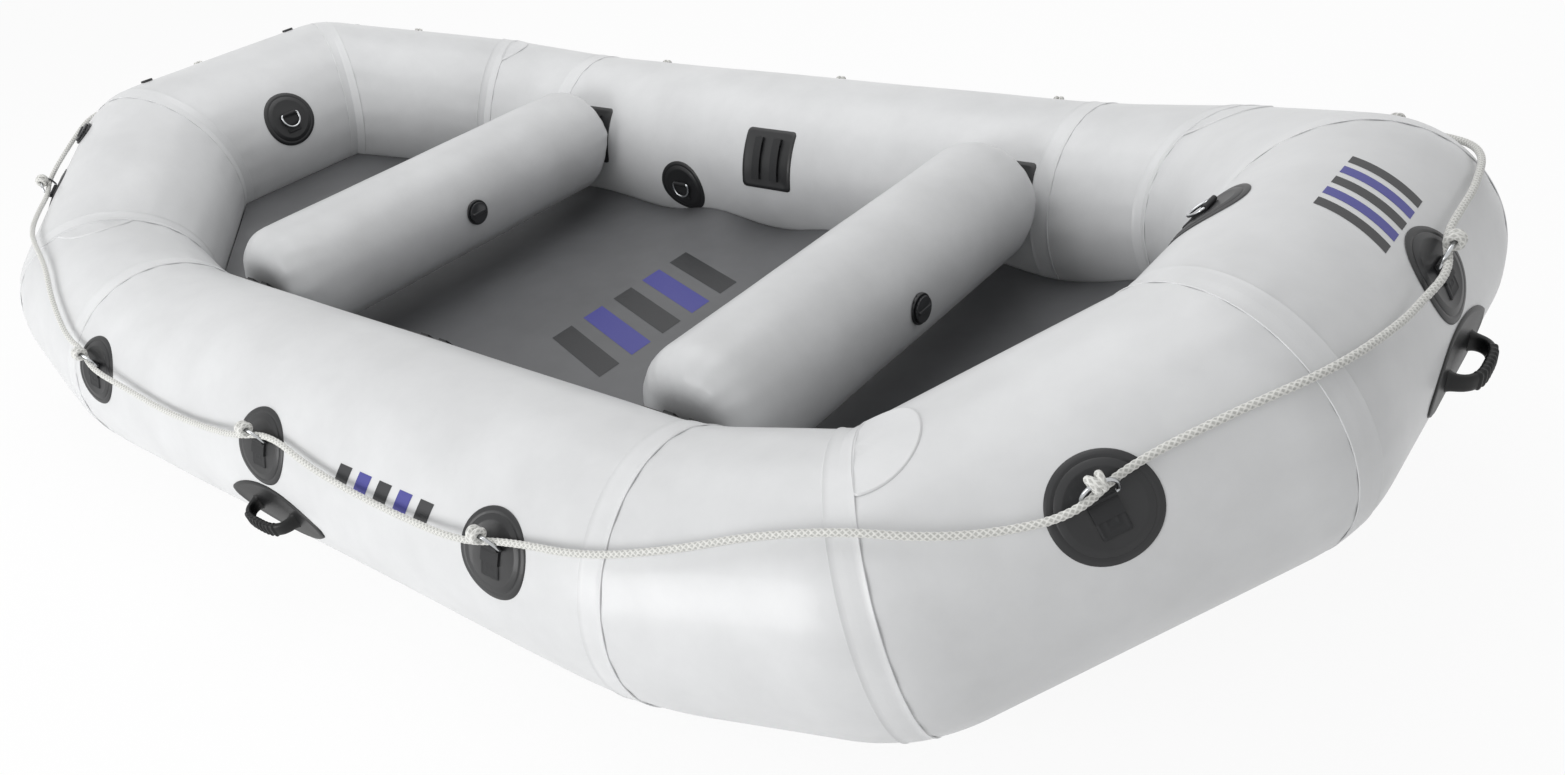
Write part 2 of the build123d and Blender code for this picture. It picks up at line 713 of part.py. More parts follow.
# ---------------------------------------------------------------- valves
def below_wall(wall_radius, gap):
    """The space that lies under a wall grown by gap, for a valve in its middle."""
    with BuildPart() as space:
        if wall_radius:
            with BuildSketch(Plane(origin=(0, 0, -wall_radius), x_dir=(0, 1, 0), z_dir=(1, 0, 0))):
                Circle(wall_radius + gap)
            extrude(amount=2 * flange_radius, both=True)
        else:
            with BuildSketch(Plane.XY.offset(gap)):
                Circle(2 * flange_radius)
            extrude(amount=-2 * neck_reach)
    return space.part


def valve_body(wall_radius):
    """Flange, neck and the ledge that the poppet closes on."""
    saddle = below_wall(wall_radius, bond)
    with BuildPart() as body:
        with BuildSketch(Plane.XY.offset(-2 * flange_rise)):
            Circle(flange_radius)
        extrude(amount=3 * flange_rise)
        fillet(body.faces().sort_by(Axis.Z)[-1].edges(), flange_rise / 2)
        add(saddle, mode=Mode.SUBTRACT)
        with BuildSketch(Plane.XY.offset(-neck_reach)):
            Circle(neck_radius)
        extrude(amount=neck_reach + flange_rise)
        with BuildSketch(Plane.XY.offset(-neck_reach)):
            Circle(bore_radius)
        extrude(amount=neck_reach + flange_rise, mode=Mode.SUBTRACT)
        with BuildSketch(Plane.XY.offset(-seat_depth)):
            Circle(bore_radius)
            Circle(seat_radius, mode=Mode.SUBTRACT)
            with PolarLocations(seat_radius / 2, 3):
                Rectangle(seat_radius + valve_fit, spoke_width)
            Circle(hub_radius)
            Circle(stem_radius + valve_fit, mode=Mode.SUBTRACT)
        extrude(amount=seat_thickness)
    return body.part


def valve_nut(wall_radius, wall):
    """The nut that clamps a wall of this thickness from inside."""
    inside = below_wall(wall_radius, -wall - bond)
    with BuildPart() as nut:
        with BuildSketch(Plane.XY.offset(-nut_height - flange_rise)):
            RegularPolygon(nut_radius, 8)
            Circle(neck_radius + valve_fit, mode=Mode.SUBTRACT)
        extrude(amount=nut_height + flange_rise)
        add(inside, mode=Mode.INTERSECT)
    return nut.part


with BuildPart() as poppet:
    with BuildSketch(Plane.XY.offset(-seat_depth - valve_fit)):
        Circle(poppet_radius)
    extrude(amount=-poppet_thickness)
    with BuildSketch(Plane.XY.offset(-seat_depth - valve_fit)):
        Circle(stem_radius)
    extrude(amount=seat_depth + valve_fit)
    with BuildSketch():
        Circle(button_radius)
    extrude(amount=button_height)
    fillet(poppet.faces().sort_by(Axis.Z)[-1].edges(), button_height / 4)

coil_foot = seat_thickness - seat_depth + coil_wire + valve_fit
with BuildPart() as spring:
    with BuildLine(Plane.XY.offset(coil_foot)) as coil:
        Helix((-coil_wire - valve_fit - coil_foot) / coil_turns, -coil_wire - valve_fit - coil_foot, coil_radius)
    path = coil.wire()
    with BuildSketch(Plane(origin=path @ 0, z_dir=path % 0)):
        Circle(coil_wire)
    sweep(path=path, is_frenet=True)

cap_foot = flange_rise + valve_fit
with BuildPart() as cap:
    with BuildSketch(Plane.XY.offset(cap_foot)):
        Circle(cap_radius)
    extrude(amount=cap_height)
    fillet(cap.faces().sort_by(Axis.Z)[-1].edges(), cap_round)
    with BuildSketch(Plane.XY.offset(cap_foot)):
        with PolarLocations(cap_radius + cap_notch_radius / 2, cap_notch_count):
            Circle(cap_notch_radius)
    extrude(amount=cap_height, mode=Mode.SUBTRACT)
    with BuildSketch(Plane.XY.offset(cap_foot - plug_height)):
        Circle(bore_radius - valve_fit)
        Circle(bore_radius - valve_fit - plug_wall, mode=Mode.SUBTRACT)
    extrude(amount=plug_height)
    with BuildSketch(Plane.XY.offset(cap_foot + cap_height)):
        SlotOverall(cap_grip_length, cap_grip_width)
    extrude(amount=cap_grip_height)
    fillet(cap.faces().sort_by(Axis.Z)[-1].edges(), cap_round)

valve_walls = {name: (seat, tube_radius, skin) for name, seat in quarter_valve_seats.items()}
valve_walls["bow_thwart"] = (thwart_valve_seats["bow_thwart"], thwart_radius, skin)
valve_walls["stern_thwart"] = (thwart_valve_seats["stern_thwart"], thwart_radius, skin)
valve_walls["floor"] = (floor_valve_seat, 0, floor_skin)
body_copies = [valve_body(radius).moved(seat.location) for seat, radius, wall in valve_walls.values()]
nut_copies = [valve_nut(radius, wall).moved(seat.location) for seat, radius, wall in valve_walls.values()]
with BuildPart() as valve_bodies:
    for piece in body_copies:
        add(piece)
with BuildPart() as valve_nuts:
    for piece in nut_copies:
        add(piece)
save(valve_bodies.part, "valve_bodies")
save(valve_nuts.part, "valve_nuts")
for name, (seat, radius, wall) in valve_walls.items():
    save(placed(poppet.part, [seat]), f"{name}_poppet")
    save(placed(spring.part, [seat]), f"{name}_spring")
    save(placed(cap.part, [seat]), f"{name}_cap")

# Pressure relief valves
relief_saddle = below_wall(tube_radius, bond)
with BuildPart() as relief:
    with BuildSketch(Plane.XY.offset(-relief_height)):
        Circle(relief_radius)
    extrude(amount=2 * relief_height)
    fillet(relief.faces().sort_by(Axis.Z)[-1].edges(), relief_round)
    add(relief_saddle, mode=Mode.SUBTRACT)
    with BuildSketch(Plane.XY.offset(-relief_reach)):
        Circle(relief_neck)
    extrude(amount=relief_reach + relief_height / 2)
    with BuildSketch(Plane.XY.offset(-relief_reach)):
        Circle(relief_bore)
    extrude(amount=relief_reach + relief_height / 2, mode=Mode.SUBTRACT)
    with BuildSketch(Plane.XY.offset(relief_height)):
        with PolarLocations(relief_bore - relief_slot_length / 4, relief_slot_count):
            SlotOverall(relief_slot_length, relief_slot_width)
    extrude(amount=-relief_height, mode=Mode.SUBTRACT)
save(placed(relief.part, relief_seats), "relief_valves")


# ---------------------------------------------------------------- grab line
def crossing(seat, towards=Vector(1, 0, 0)):
    """The middle of a ring's eye, and the slant on which the line goes through it."""
    stand = radians(ring_stand)
    forward = seat.x_dir if seat.x_dir.dot(towards) > 0 else seat.x_dir * -1
    across = seat.y_dir * sin(stand) - seat.z_dir * cos(stand)
    lift = seat.z_dir * sin(stand) + seat.y_dir * cos(stand)
    eye = seat.origin + seat.z_dir * bar_height + lift * eye_reach
    return eye, (forward + across * crossing_slope).normalized()


def off_wall(seat, stand=rope_stand):
    return seat.origin + seat.z_dir * stand


def shoulder_point(fore, side, share, elevation):
    ends = (mirrored(SHOULDER, fore, side), mirrored(QUARTER, fore, side))
    return off_wall(wall_seat(*ends, share, elevation, 1))


def end_point(fore, y, elevation):
    return off_wall(end_seat(fore, y, elevation, 1))


def quarter_point(fore, side, share, elevation):
    return off_wall(quarter_seat(fore, side, share, elevation, 1))


def side_point(x, side, elevation):
    return off_wall(side_seat(x, elevation, side, 1))


def bend_point(bend, fore, side, elevation):
    return off_wall(bend_seat(quarter_bend(bend, fore, side), elevation), rope_corner_stand)


def through(seat, rising=1):
    """Where the line bends at a ring, from stern to bow; rising is -1 where it drops towards the bow."""
    eye, slant = crossing(seat, Vector(rising, 0, 0))
    return [eye - slant * crossing_half * rising, eye + slant * crossing_half * rising]


def line_route(side, near_end, near_bend, climb):
    """The line's corners along one side of the hull, from the stern to the bow.

    near_end and near_bend are its elevations on the end tubes, beside the middle ring and the bend.
    climb is how much of the full rise over the quarter bends it takes on this side.
    """

    def up(elevation):
        return rope_low_elevation + climb * (elevation - rope_low_elevation)

    aft_ring = quarter_seat(-1, side, quarter_ring_along, quarter_ring_elevation, 1)
    fore_ring = quarter_seat(1, side, quarter_ring_along, quarter_ring_elevation, 1)
    row = [side_seat(x, side_ring_elevation, side, 1) for x in ring_row]
    route = [end_point(-1, side * 145, near_end), end_point(-1, side * 230, near_bend)]
    route += [bend_point(end_corner, -1, side, 43), quarter_point(-1, side, 0.90, 41)]
    route += through(aft_ring)
    route += [quarter_point(-1, side, 0.28, up(48)), quarter_point(-1, side, 0.12, up(54))]
    route += [bend_point(quarter_corner, -1, side, up(59))]
    route += [shoulder_point(-1, side, 0.70, up(54)), shoulder_point(-1, side, 0.40, up(45))]
    route += [bend_point(shoulder_corner, -1, side, up(36))]
    route += through(row[0], -1)
    route += [side_point(-560, side, 25), side_point(-405, side, 23), side_point(-250, side, 24)]
    route += through(row[1])
    route += [side_point(140, side, 31), side_point(290, side, 25.5), side_point(450, side, 24)]
    route += through(row[2])
    route += [bend_point(shoulder_corner, 1, side, up(39))]
    route += [shoulder_point(1, side, 0.40, up(46)), shoulder_point(1, side, 0.70, up(52))]
    route += [bend_point(quarter_corner, 1, side, up(57))]
    route += [quarter_point(1, side, 0.12, up(51)), quarter_point(1, side, 0.28, up(42))]
    route += through(fore_ring)
    route += [quarter_point(1, side, 0.90, 42), bend_point(end_corner, 1, side, 43)]
    route += [end_point(1, side * 230, near_bend), end_point(1, side * 145, near_end)]
    return route


def tangent_radii(points, held):
    """The arcs at the line's corners, which keep clear of the rings where the line is held."""
    radii = []
    for before, corner, after in zip(points, points[1:], points[2:]):
        arriving, leaving = corner - before, after - corner
        half_turn = radians(arriving.get_angle(leaving) / 2)
        setback = 0.45 * min(arriving.length, leaving.length)
        if min((corner - eye).length for eye in held) < 1.1 * crossing_half:
            setback = min(setback, crossing_room)
        radii.append(setback / tan(half_turn))
    return radii


bow_eye, bow_slant = crossing(rope_seats[0], Vector(0, 1, 0))
stern_eye, stern_slant = crossing(rope_seats[1], Vector(0, 1, 0))
line_points = [stern_eye + stern_slant * bond, stern_eye + stern_slant * crossing_half]
line_points += line_route(1, 43, 43, port_climb)
line_points += [bow_eye + bow_slant * crossing_half, bow_eye - bow_slant * crossing_half]
line_points += list(reversed(line_route(-1, 37, 39, starboard_climb)))
line_points += [stern_eye - stern_slant * crossing_half, stern_eye - stern_slant * bond]
ring_eyes = [crossing(seat)[0] for seat in rope_seats]
line_radii = tangent_radii(line_points, ring_eyes)
with BuildPart() as grab_line:
    with BuildLine() as route:
        FilletPolyline(*line_points, radius=line_radii)
    path = route.wire()
    with BuildSketch(Plane(origin=path @ 0, z_dir=path % 0)):
        Circle(rope_radius)
    sweep(path=path)
save(grab_line.part, "grab_line")
print(f"grab line: {path.length:.0f} mm long, bent at {[round(radius) for radius in line_radii]} mm")

# A hitch's turn round the crown of each ring
with BuildPart() as hitch:
    stand = radians(ring_stand)
    crown = ring_height + 2 * ring_wire
    with Locations(
        Plane(origin=(0, crown * cos(stand), bar_height + crown * sin(stand)), z_dir=(1, 0, 0))
    ):
        Torus(hitch_radius, rope_radius)
save(placed(hitch.part, rope_seats), "line_hitches")
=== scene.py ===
"""Dresses the river raft's frame: inflated tubes, thwarts and floor, glued fittings and grab line."""

import json
from math import cos, pi, radians, sin, sqrt, tan

import bpy
import numpy as np
from mathutils import Matrix, Vector, noise


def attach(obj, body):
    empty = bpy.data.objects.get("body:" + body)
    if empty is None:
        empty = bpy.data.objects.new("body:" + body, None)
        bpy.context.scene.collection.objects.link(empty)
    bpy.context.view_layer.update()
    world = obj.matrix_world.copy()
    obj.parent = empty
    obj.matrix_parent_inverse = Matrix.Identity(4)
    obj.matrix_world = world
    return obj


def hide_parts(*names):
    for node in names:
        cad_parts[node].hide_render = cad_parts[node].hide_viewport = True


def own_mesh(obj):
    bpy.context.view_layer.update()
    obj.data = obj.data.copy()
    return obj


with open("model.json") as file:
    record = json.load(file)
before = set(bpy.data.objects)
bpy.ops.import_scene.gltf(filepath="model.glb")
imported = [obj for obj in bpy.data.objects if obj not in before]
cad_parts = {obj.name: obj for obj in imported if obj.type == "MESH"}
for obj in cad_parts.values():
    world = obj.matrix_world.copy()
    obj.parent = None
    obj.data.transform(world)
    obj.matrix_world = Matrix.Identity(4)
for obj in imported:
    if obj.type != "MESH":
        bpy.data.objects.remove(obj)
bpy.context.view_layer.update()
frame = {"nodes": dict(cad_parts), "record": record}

bl_info = {
    "name": "River raft",
    "version": (1, 0, 0),
    "blender": (4, 5, 0),
    "location": "View3D > Sidebar > Raft",
    "description": "Inflated hull, thwarts, floor and fittings of a river raft",
    "category": "Add Mesh",
}

# ---------------------------------------------------------------- hull, in metres
RADIUS = 0.240
SHOULDER = Vector((0.870, 0.800, 0.240))
QUARTER = Vector((1.250, 0.722, 0.298))
END = Vector((1.605, 0.304, 0.467))
SHOULDER_BEND, QUARTER_BEND, END_BEND = 0.864, 0.125, 0.050
TAPE_HALF, TAPE_TOP = 0.025, 0.0012
THWART_X, THWART_Z, THWART_RADIUS, THWART_HALF = 0.710, 0.336, 0.152, 0.575
FLOOR_THICKNESS = 0.120
RING_ROW = (-0.752, -0.046, 0.660)
# elevations are degrees up the wall from level
END_RING, SIDE_RING, QUARTER_RING, QUARTER_RING_SHARE = 37, 29, 37, 0.536
BOW_WELL_RING, STERN_WELL_RING, SIDE_WELL_RING, SIDE_WELL_RING_X = 51, 17, -3, -0.314
RING_PATCH, RING_COVER, PATCH_DROP, TAIL_DROP = 0.081, 0.068, 0.015, 0.030
RING_LIFT, RING_EYE, RING_CROWN, RING_STAND = 0.0091, 0.017, 0.040, radians(55)
LINE_LENGTH, STRAND_TURN, BRAID_STEP = 9.80, 0.040, 0.0028
LINE_STAND, BEND_STAND, END_GAP = 0.018, 0.022, 0.0003
CROSSING_HALF, CROSSING_SLOPE = 0.046, 0.365
LEAF_LENGTH, LEAF_WIDTH, HANDLE_ELEVATION, END_HANDLE_ELEVATION = 0.350, 0.130, -10.5, -3.0
MOUNT_HALF, MOUNT_ROUND, MOUNT_ELEVATION, MOUNT_LEAD = 0.084, 0.012, 23, 0.018
MOUNT_XS = (0.010, THWART_X + MOUNT_LEAD, MOUNT_LEAD - THWART_X)

# sections of the glued plies: (share of the reach, height in millimetres), most with a raised line
RING_BASE_PLY = (
    *((0, 1.9), (0.5, 1.9), (0.86, 1.9), (0.88, 2.6)),
    *((0.91, 2.6), (0.93, 1.9), (0.985, 1.8), (1.0, 0.2)),
)
RING_COVER_PLY = (
    *((0, 3.6), (0.4, 3.6), (0.80, 3.6), (0.82, 4.1)),
    *((0.85, 4.1), (0.87, 3.6), (0.97, 3.4), (1.0, 2.0)),
)
MOUNT_PLY = (
    *((0, 2.8), (0.5, 2.8), (0.86, 2.8), (0.88, 3.3)),
    *((0.90, 3.3), (0.92, 2.8), (0.98, 2.6), (1.0, 0.2)),
)
LEAF_PLY = (
    *((0, 2.9), (0.5, 2.9), (0.88, 2.9), (0.90, 3.5)),
    *((0.93, 3.5), (0.95, 2.9), (0.985, 2.5), (1.0, 0.2)),
)
# a box of stitching near the edge and another inside it
STRAP_TAIL = (
    *((0, 5.5), (0.30, 5.5), (0.34, 6.0), (0.40, 6.0), (0.44, 5.5), (0.80, 5.5)),
    *((0.83, 6.0), (0.88, 6.0), (0.91, 5.5), (0.98, 5.3), (1.0, 3.6)),
)


def across(point, fore, side):
    """A point of the port bow quarter carried to another quarter."""
    return Vector((point.x * fore, point.y * side, point.z))


class Bend:
    """A rounded corner of the tube's axis, with the seam in its middle."""

    def __init__(self, before, corner, after, radius):
        self.before, self.corner, self.after, self.radius = before, corner, after, radius
        arriving = (corner - before).normalized()
        leaving = (after - corner).normalized()
        self.half_turn = arriving.angle(leaving) / 2
        self.along = (arriving + leaving).normalized()
        inward = (leaving - arriving).normalized()
        self.setback = radius * tan(self.half_turn)
        self.centre = corner + inward * (radius / cos(self.half_turn))

    def moved(self, fore, side):
        """The same bend in another quarter of the hull."""
        return Bend(*[across(p, fore, side) for p in (self.before, self.corner, self.after)], self.radius)


SHOULDER_CORNER = Bend(across(SHOULDER, -1, 1), SHOULDER, QUARTER, SHOULDER_BEND)
QUARTER_CORNER = Bend(SHOULDER, QUARTER, END, QUARTER_BEND)
END_CORNER = Bend(QUARTER, END, across(END, 1, -1), END_BEND)
HULL = {
    "side": (SHOULDER_CORNER.moved(-1, 1), SHOULDER_CORNER),
    "shoulder": (SHOULDER_CORNER, QUARTER_CORNER),
    "quarter": (QUARTER_CORNER, END_CORNER),
    "end": (END_CORNER, END_CORNER.moved(1, -1)),
}


class Tube:
    """A length of hull tube between two seams, whose wall is read by angle and distance."""

    def __init__(self, first, last):
        self.first, self.last = first, last
        self.run = (last.corner - first.corner).normalized()
        self.start = first.corner + self.run * first.setback
        self.stop = last.corner - self.run * last.setback
        self.side = self.run.cross(Vector((0, 0, 1))).normalized()
        middle = (first.corner + last.corner) / 2
        if self.side.dot(Vector((middle.x, middle.y, 0))) < 0:
            self.side = -self.side
        self.up = self.side.cross(self.run).normalized()
        if self.up.z < 0:
            self.up = -self.up

    def radial(self, angle):
        """Out of the wall at this angle: 0 faces out of the hull and a quarter turn faces up."""
        return self.side * cos(angle) + self.up * sin(angle)

    def reach(self, bend, tangent, out):
        """How far a wall line runs past the tangent plane, and the arm that it turns on."""
        outward = (tangent - bend.centre).normalized()
        arm = bend.radius + out.dot(outward) * RADIUS
        if arm > 0:
            return arm * bend.half_turn, arm
        return arm * tan(bend.half_turn), arm

    def length(self, angle):
        """How long the wall is from seam to seam at this angle."""
        out = self.radial(angle)
        head, _ = self.reach(self.first, self.start, out)
        tail, _ = self.reach(self.last, self.stop, out)
        return head + (self.stop - self.start).length + tail

    def wall(self, angle, distance, height=0.0):
        """The point this far along a wall line from the first seam, and the wall's normal there."""
        out = self.radial(angle)
        head, head_arm = self.reach(self.first, self.start, out)
        straight = (self.stop - self.start).length
        level = distance - head
        if level < 0 and head_arm > 0:
            return self.bent(self.first, self.start, -self.run, out, -level / head_arm, height)
        if level > straight:
            tail, tail_arm = self.reach(self.last, self.stop, out)
            if tail_arm > 0:
                turn = (level - straight) / tail_arm
                return self.bent(self.last, self.stop, self.run, out, turn, height)
        return self.start + self.run * level + out * (RADIUS + height), out

    def bent(self, bend, tangent, walk, out, turn, height):
        """The wall's point and normal this far round a bend."""
        outward = (tangent - bend.centre).normalized()
        spin = Matrix.Rotation(turn, 3, outward.cross(walk))
        return bend.centre + spin @ (tangent + out * (RADIUS + height) - bend.centre), spin @ out


class Seat:
    """A place on a wall: x along the tube, y up the wall, z out of it."""

    def __init__(self, origin, x, z, radius=RADIUS):
        self.origin, self.x, self.z, self.radius = origin, x, z, radius
        self.y = z.cross(x)

    def at(self, x, y, height):
        """A point of the wall's curved surface, or height above it."""
        if not self.radius:
            return self.origin + self.x * x + self.y * y + self.z * height
        angle = y / self.radius
        out = self.z * cos(angle) + self.y * sin(angle)
        return self.origin - self.z * self.radius + self.x * x + out * (self.radius + height)


def wall_seat(start, stop, share, elevation, facing=1):
    """A seat this share of the way along an axis, facing out of the hull (1) or into it (-1)."""
    run = (stop - start).normalized()
    middle = start + (stop - start) * share
    level = run.cross(Vector((0, 0, 1))).normalized()
    if level.dot(Vector((middle.x, middle.y, 0))) * facing < 0:
        level = -level
    upward = level.cross(run).normalized()
    if upward.z < 0:
        upward = -upward
    angle = radians(elevation)
    out = level * cos(angle) + upward * sin(angle)
    up_wall = upward * cos(angle) - level * sin(angle)
    return Seat(middle + out * RADIUS, up_wall.cross(out), out)


def side_seat(x, elevation, side, facing=1):
    """A seat on a side tube, x ahead of amidships."""
    ends = (across(SHOULDER, -1, side), across(SHOULDER, 1, side))
    return wall_seat(*ends, (x + SHOULDER.x) / (2 * SHOULDER.x), elevation, facing)


def shoulder_seat(fore, side, share, elevation, facing=1):
    """A seat on a shoulder tube, this share of the way from its side tube."""
    return wall_seat(across(SHOULDER, fore, side), across(QUARTER, fore, side), share, elevation, facing)


def quarter_seat(fore, side, share, elevation, facing=1):
    """A seat on a quarter tube, this share of the way up from its shoulder tube."""
    return wall_seat(across(QUARTER, fore, side), across(END, fore, side), share, elevation, facing)


def end_seat(fore, y, elevation, facing=1):
    """A seat on the bow or stern tube, y to port of its middle."""
    ends = (across(END, fore, -1), across(END, fore, 1))
    return wall_seat(*ends, (y + END.y) / (2 * END.y), elevation, facing)


def bend_seat(bend, fore, side, elevation):
    """A seat on a bend, where its two tubes meet."""
    here = bend.moved(fore, side)
    outward = (here.corner - here.centre).normalized()
    middle = here.centre + outward * here.radius
    return wall_seat(middle, middle + here.along, 0, elevation)


def lowered(drop):
    """A distance down the wall, as degrees of elevation."""
    return drop / RADIUS * 180 / pi


def rope_ring_seats(drop=0.0):
    """Seats of the twelve rings that hold the line, or places that far down the wall from them."""
    less = lowered(drop)
    seats = [end_seat(fore, 0, END_RING - less) for fore in (1, -1)]
    for side in (1, -1):
        seats += [side_seat(x, SIDE_RING - less, side) for x in RING_ROW]
        for fore in (1, -1):
            seats.append(quarter_seat(fore, side, QUARTER_RING_SHARE, QUARTER_RING - less))
    return seats


def free_ring_seats(drop=0.0):
    """Seats of the four rings that swing inside the hull, or places below them."""
    less = lowered(drop)
    seats = [end_seat(1, 0, BOW_WELL_RING - less, -1), end_seat(-1, 0, STERN_WELL_RING - less, -1)]
    return seats + [side_seat(SIDE_WELL_RING_X, SIDE_WELL_RING - less, side, -1) for side in (1, -1)]


# ---------------------------------------------------------------- materials
def linear(code):
    """An sRGB hex colour as linear RGBA."""
    parts = [int(code[i : i + 2], 16) / 255 for i in (1, 3, 5)]
    return [c / 12.92 if c <= 0.04045 else ((c + 0.055) / 1.055) ** 2.4 for c in parts] + [1.0]


def node(tree, kind, links=(), constants=(), **settings):
    """Adds a node with its settings by name, its constants by socket number and its links by input."""
    made = tree.nodes.new(kind)
    for socket, value in constants:
        made.inputs[socket].default_value = value
    for key, value in settings.items():
        if hasattr(made, key):
            setattr(made, key, value)
        else:
            made.inputs[key.replace("_", " ")].default_value = value
    for source, target in links:
        tree.links.new(source, made.inputs[target])
    return made


def finish_of(name, colour, roughness, coat=0.0, metallic=0.0, specular=0.5):
    """A new material, its tree and its main shader; the colour is sRGB hex or linear RGBA."""
    if isinstance(colour, str):
        colour = linear(colour)
    material = bpy.data.materials.new(name)
    material.use_nodes = True
    tree = material.node_tree
    shader = tree.nodes["Principled BSDF"]
    shader.inputs["Base Color"].default_value = colour
    shader.inputs["Roughness"].default_value = roughness
    shader.inputs["Metallic"].default_value = metallic
    shader.inputs["Coat Weight"].default_value = coat
    shader.inputs["Specular IOR Level"].default_value = specular
    return material, tree, shader


def calendered_vinyl(name, colour, shade, roughness, weave, waviness):
    """Vinyl calendered on to woven polyester: the weave shows faintly through a satin skin."""
    material, tree, shader = finish_of(name, colour, roughness, coat=0.08)
    here = node(tree, "ShaderNodeTexCoord")
    # handling marks and slow changes of tone over hand-sized areas
    where = [(here.outputs["Object"], "Vector")]
    cloud = node(tree, "ShaderNodeTexNoise", where, Scale=5.0, Detail=6.0, Roughness=0.6)
    tone = node(tree, "ShaderNodeValToRGB", [(cloud.outputs["Fac"], "Fac")])
    plain = list(shader.inputs["Base Color"].default_value)
    marked, clean = tone.color_ramp.elements
    marked.position, clean.position = 0.35, 0.70
    marked.color, clean.color = [c * shade for c in plain[:3]] + [1.0], plain
    tree.links.new(tone.outputs["Color"], shader.inputs["Base Color"])
    # threads about a millimetre apart, drawn coarser so that they show
    grain = node(tree, "ShaderNodeTexNoise", where, Scale=weave, Detail=3.0)
    dents = node(tree, "ShaderNodeTexNoise", where, Scale=9.0, Detail=2.0)
    fine = node(tree, "ShaderNodeBump", [(grain.outputs["Fac"], "Height")], Strength=0.12, Distance=0.0006)
    soft = node(
        tree,
        "ShaderNodeBump",
        [(dents.outputs["Fac"], "Height"), (fine.outputs["Normal"], "Normal")],
        Strength=waviness,
        Distance=0.004,
    )
    tree.links.new(soft.outputs["Normal"], shader.inputs["Normal"])
    return material


def moulded(name, colour, roughness, grit, specular=0.5):
    """A moulded rubber or nylon piece with a fine matt grain."""
    material, tree, shader = finish_of(name, colour, roughness, specular=specular)
    here = node(tree, "ShaderNodeTexCoord")
    grain = node(tree, "ShaderNodeTexNoise", [(here.outputs["Object"], "Vector")], Scale=grit, Detail=4.0)
    bump = node(tree, "ShaderNodeBump", [(grain.outputs["Fac"], "Height")], Strength=0.2, Distance=0.0005)
    tree.links.new(bump.outputs["Normal"], shader.inputs["Normal"])
    return material


def braided_line():
    """White polyester braid, with painted shade in the grooves between the strands' backs."""
    material, tree, shader = finish_of("Braided polyester line, white", "#DEDEDA", 0.62)
    shader.inputs["Sheen Weight"].default_value = 0.3
    strands = bpy.context.scene.raft_line.strands
    round_turn, along_turn = pi * strands, pi * strands * LINE_LENGTH / STRAND_TURN
    cover = node(tree, "ShaderNodeTexCoord")
    backs = []
    for way in (1, -1):
        flat = [(cover.outputs["UV"], 0)]
        slant = (round_turn, way * along_turn, 0)
        phase = node(tree, "ShaderNodeVectorMath", flat, [(1, slant)], operation="DOT_PRODUCT")
        strand = node(tree, "ShaderNodeMath", [(phase.outputs["Value"], 0)], operation="COSINE")
        backs.append(strand.outputs[0])
    height = node(tree, "ShaderNodeMath", [(backs[0], 0), (backs[1], 1)], operation="MAXIMUM")
    # painted shade: the grooves between the strands are painted grey, and the strands' backs keep the line's
    # white
    tone = node(tree, "ShaderNodeValToRGB", [(height.outputs[0], "Fac")])
    painted_crease_shade, back = tone.color_ramp.elements
    painted_crease_shade.color, back.color = linear("#B8B8B4"), linear("#DEDEDA")
    back.position = 0.75
    tree.links.new(tone.outputs["Color"], shader.inputs["Base Color"])
    fibre = node(tree, "ShaderNodeTexNoise", [(cover.outputs["Object"], "Vector")], Scale=2500.0, Detail=2.0)
    bump = node(tree, "ShaderNodeBump", [(fibre.outputs["Fac"], "Height")], Strength=0.4, Distance=0.0004)
    tree.links.new(bump.outputs["Normal"], shader.inputs["Normal"])
    return material


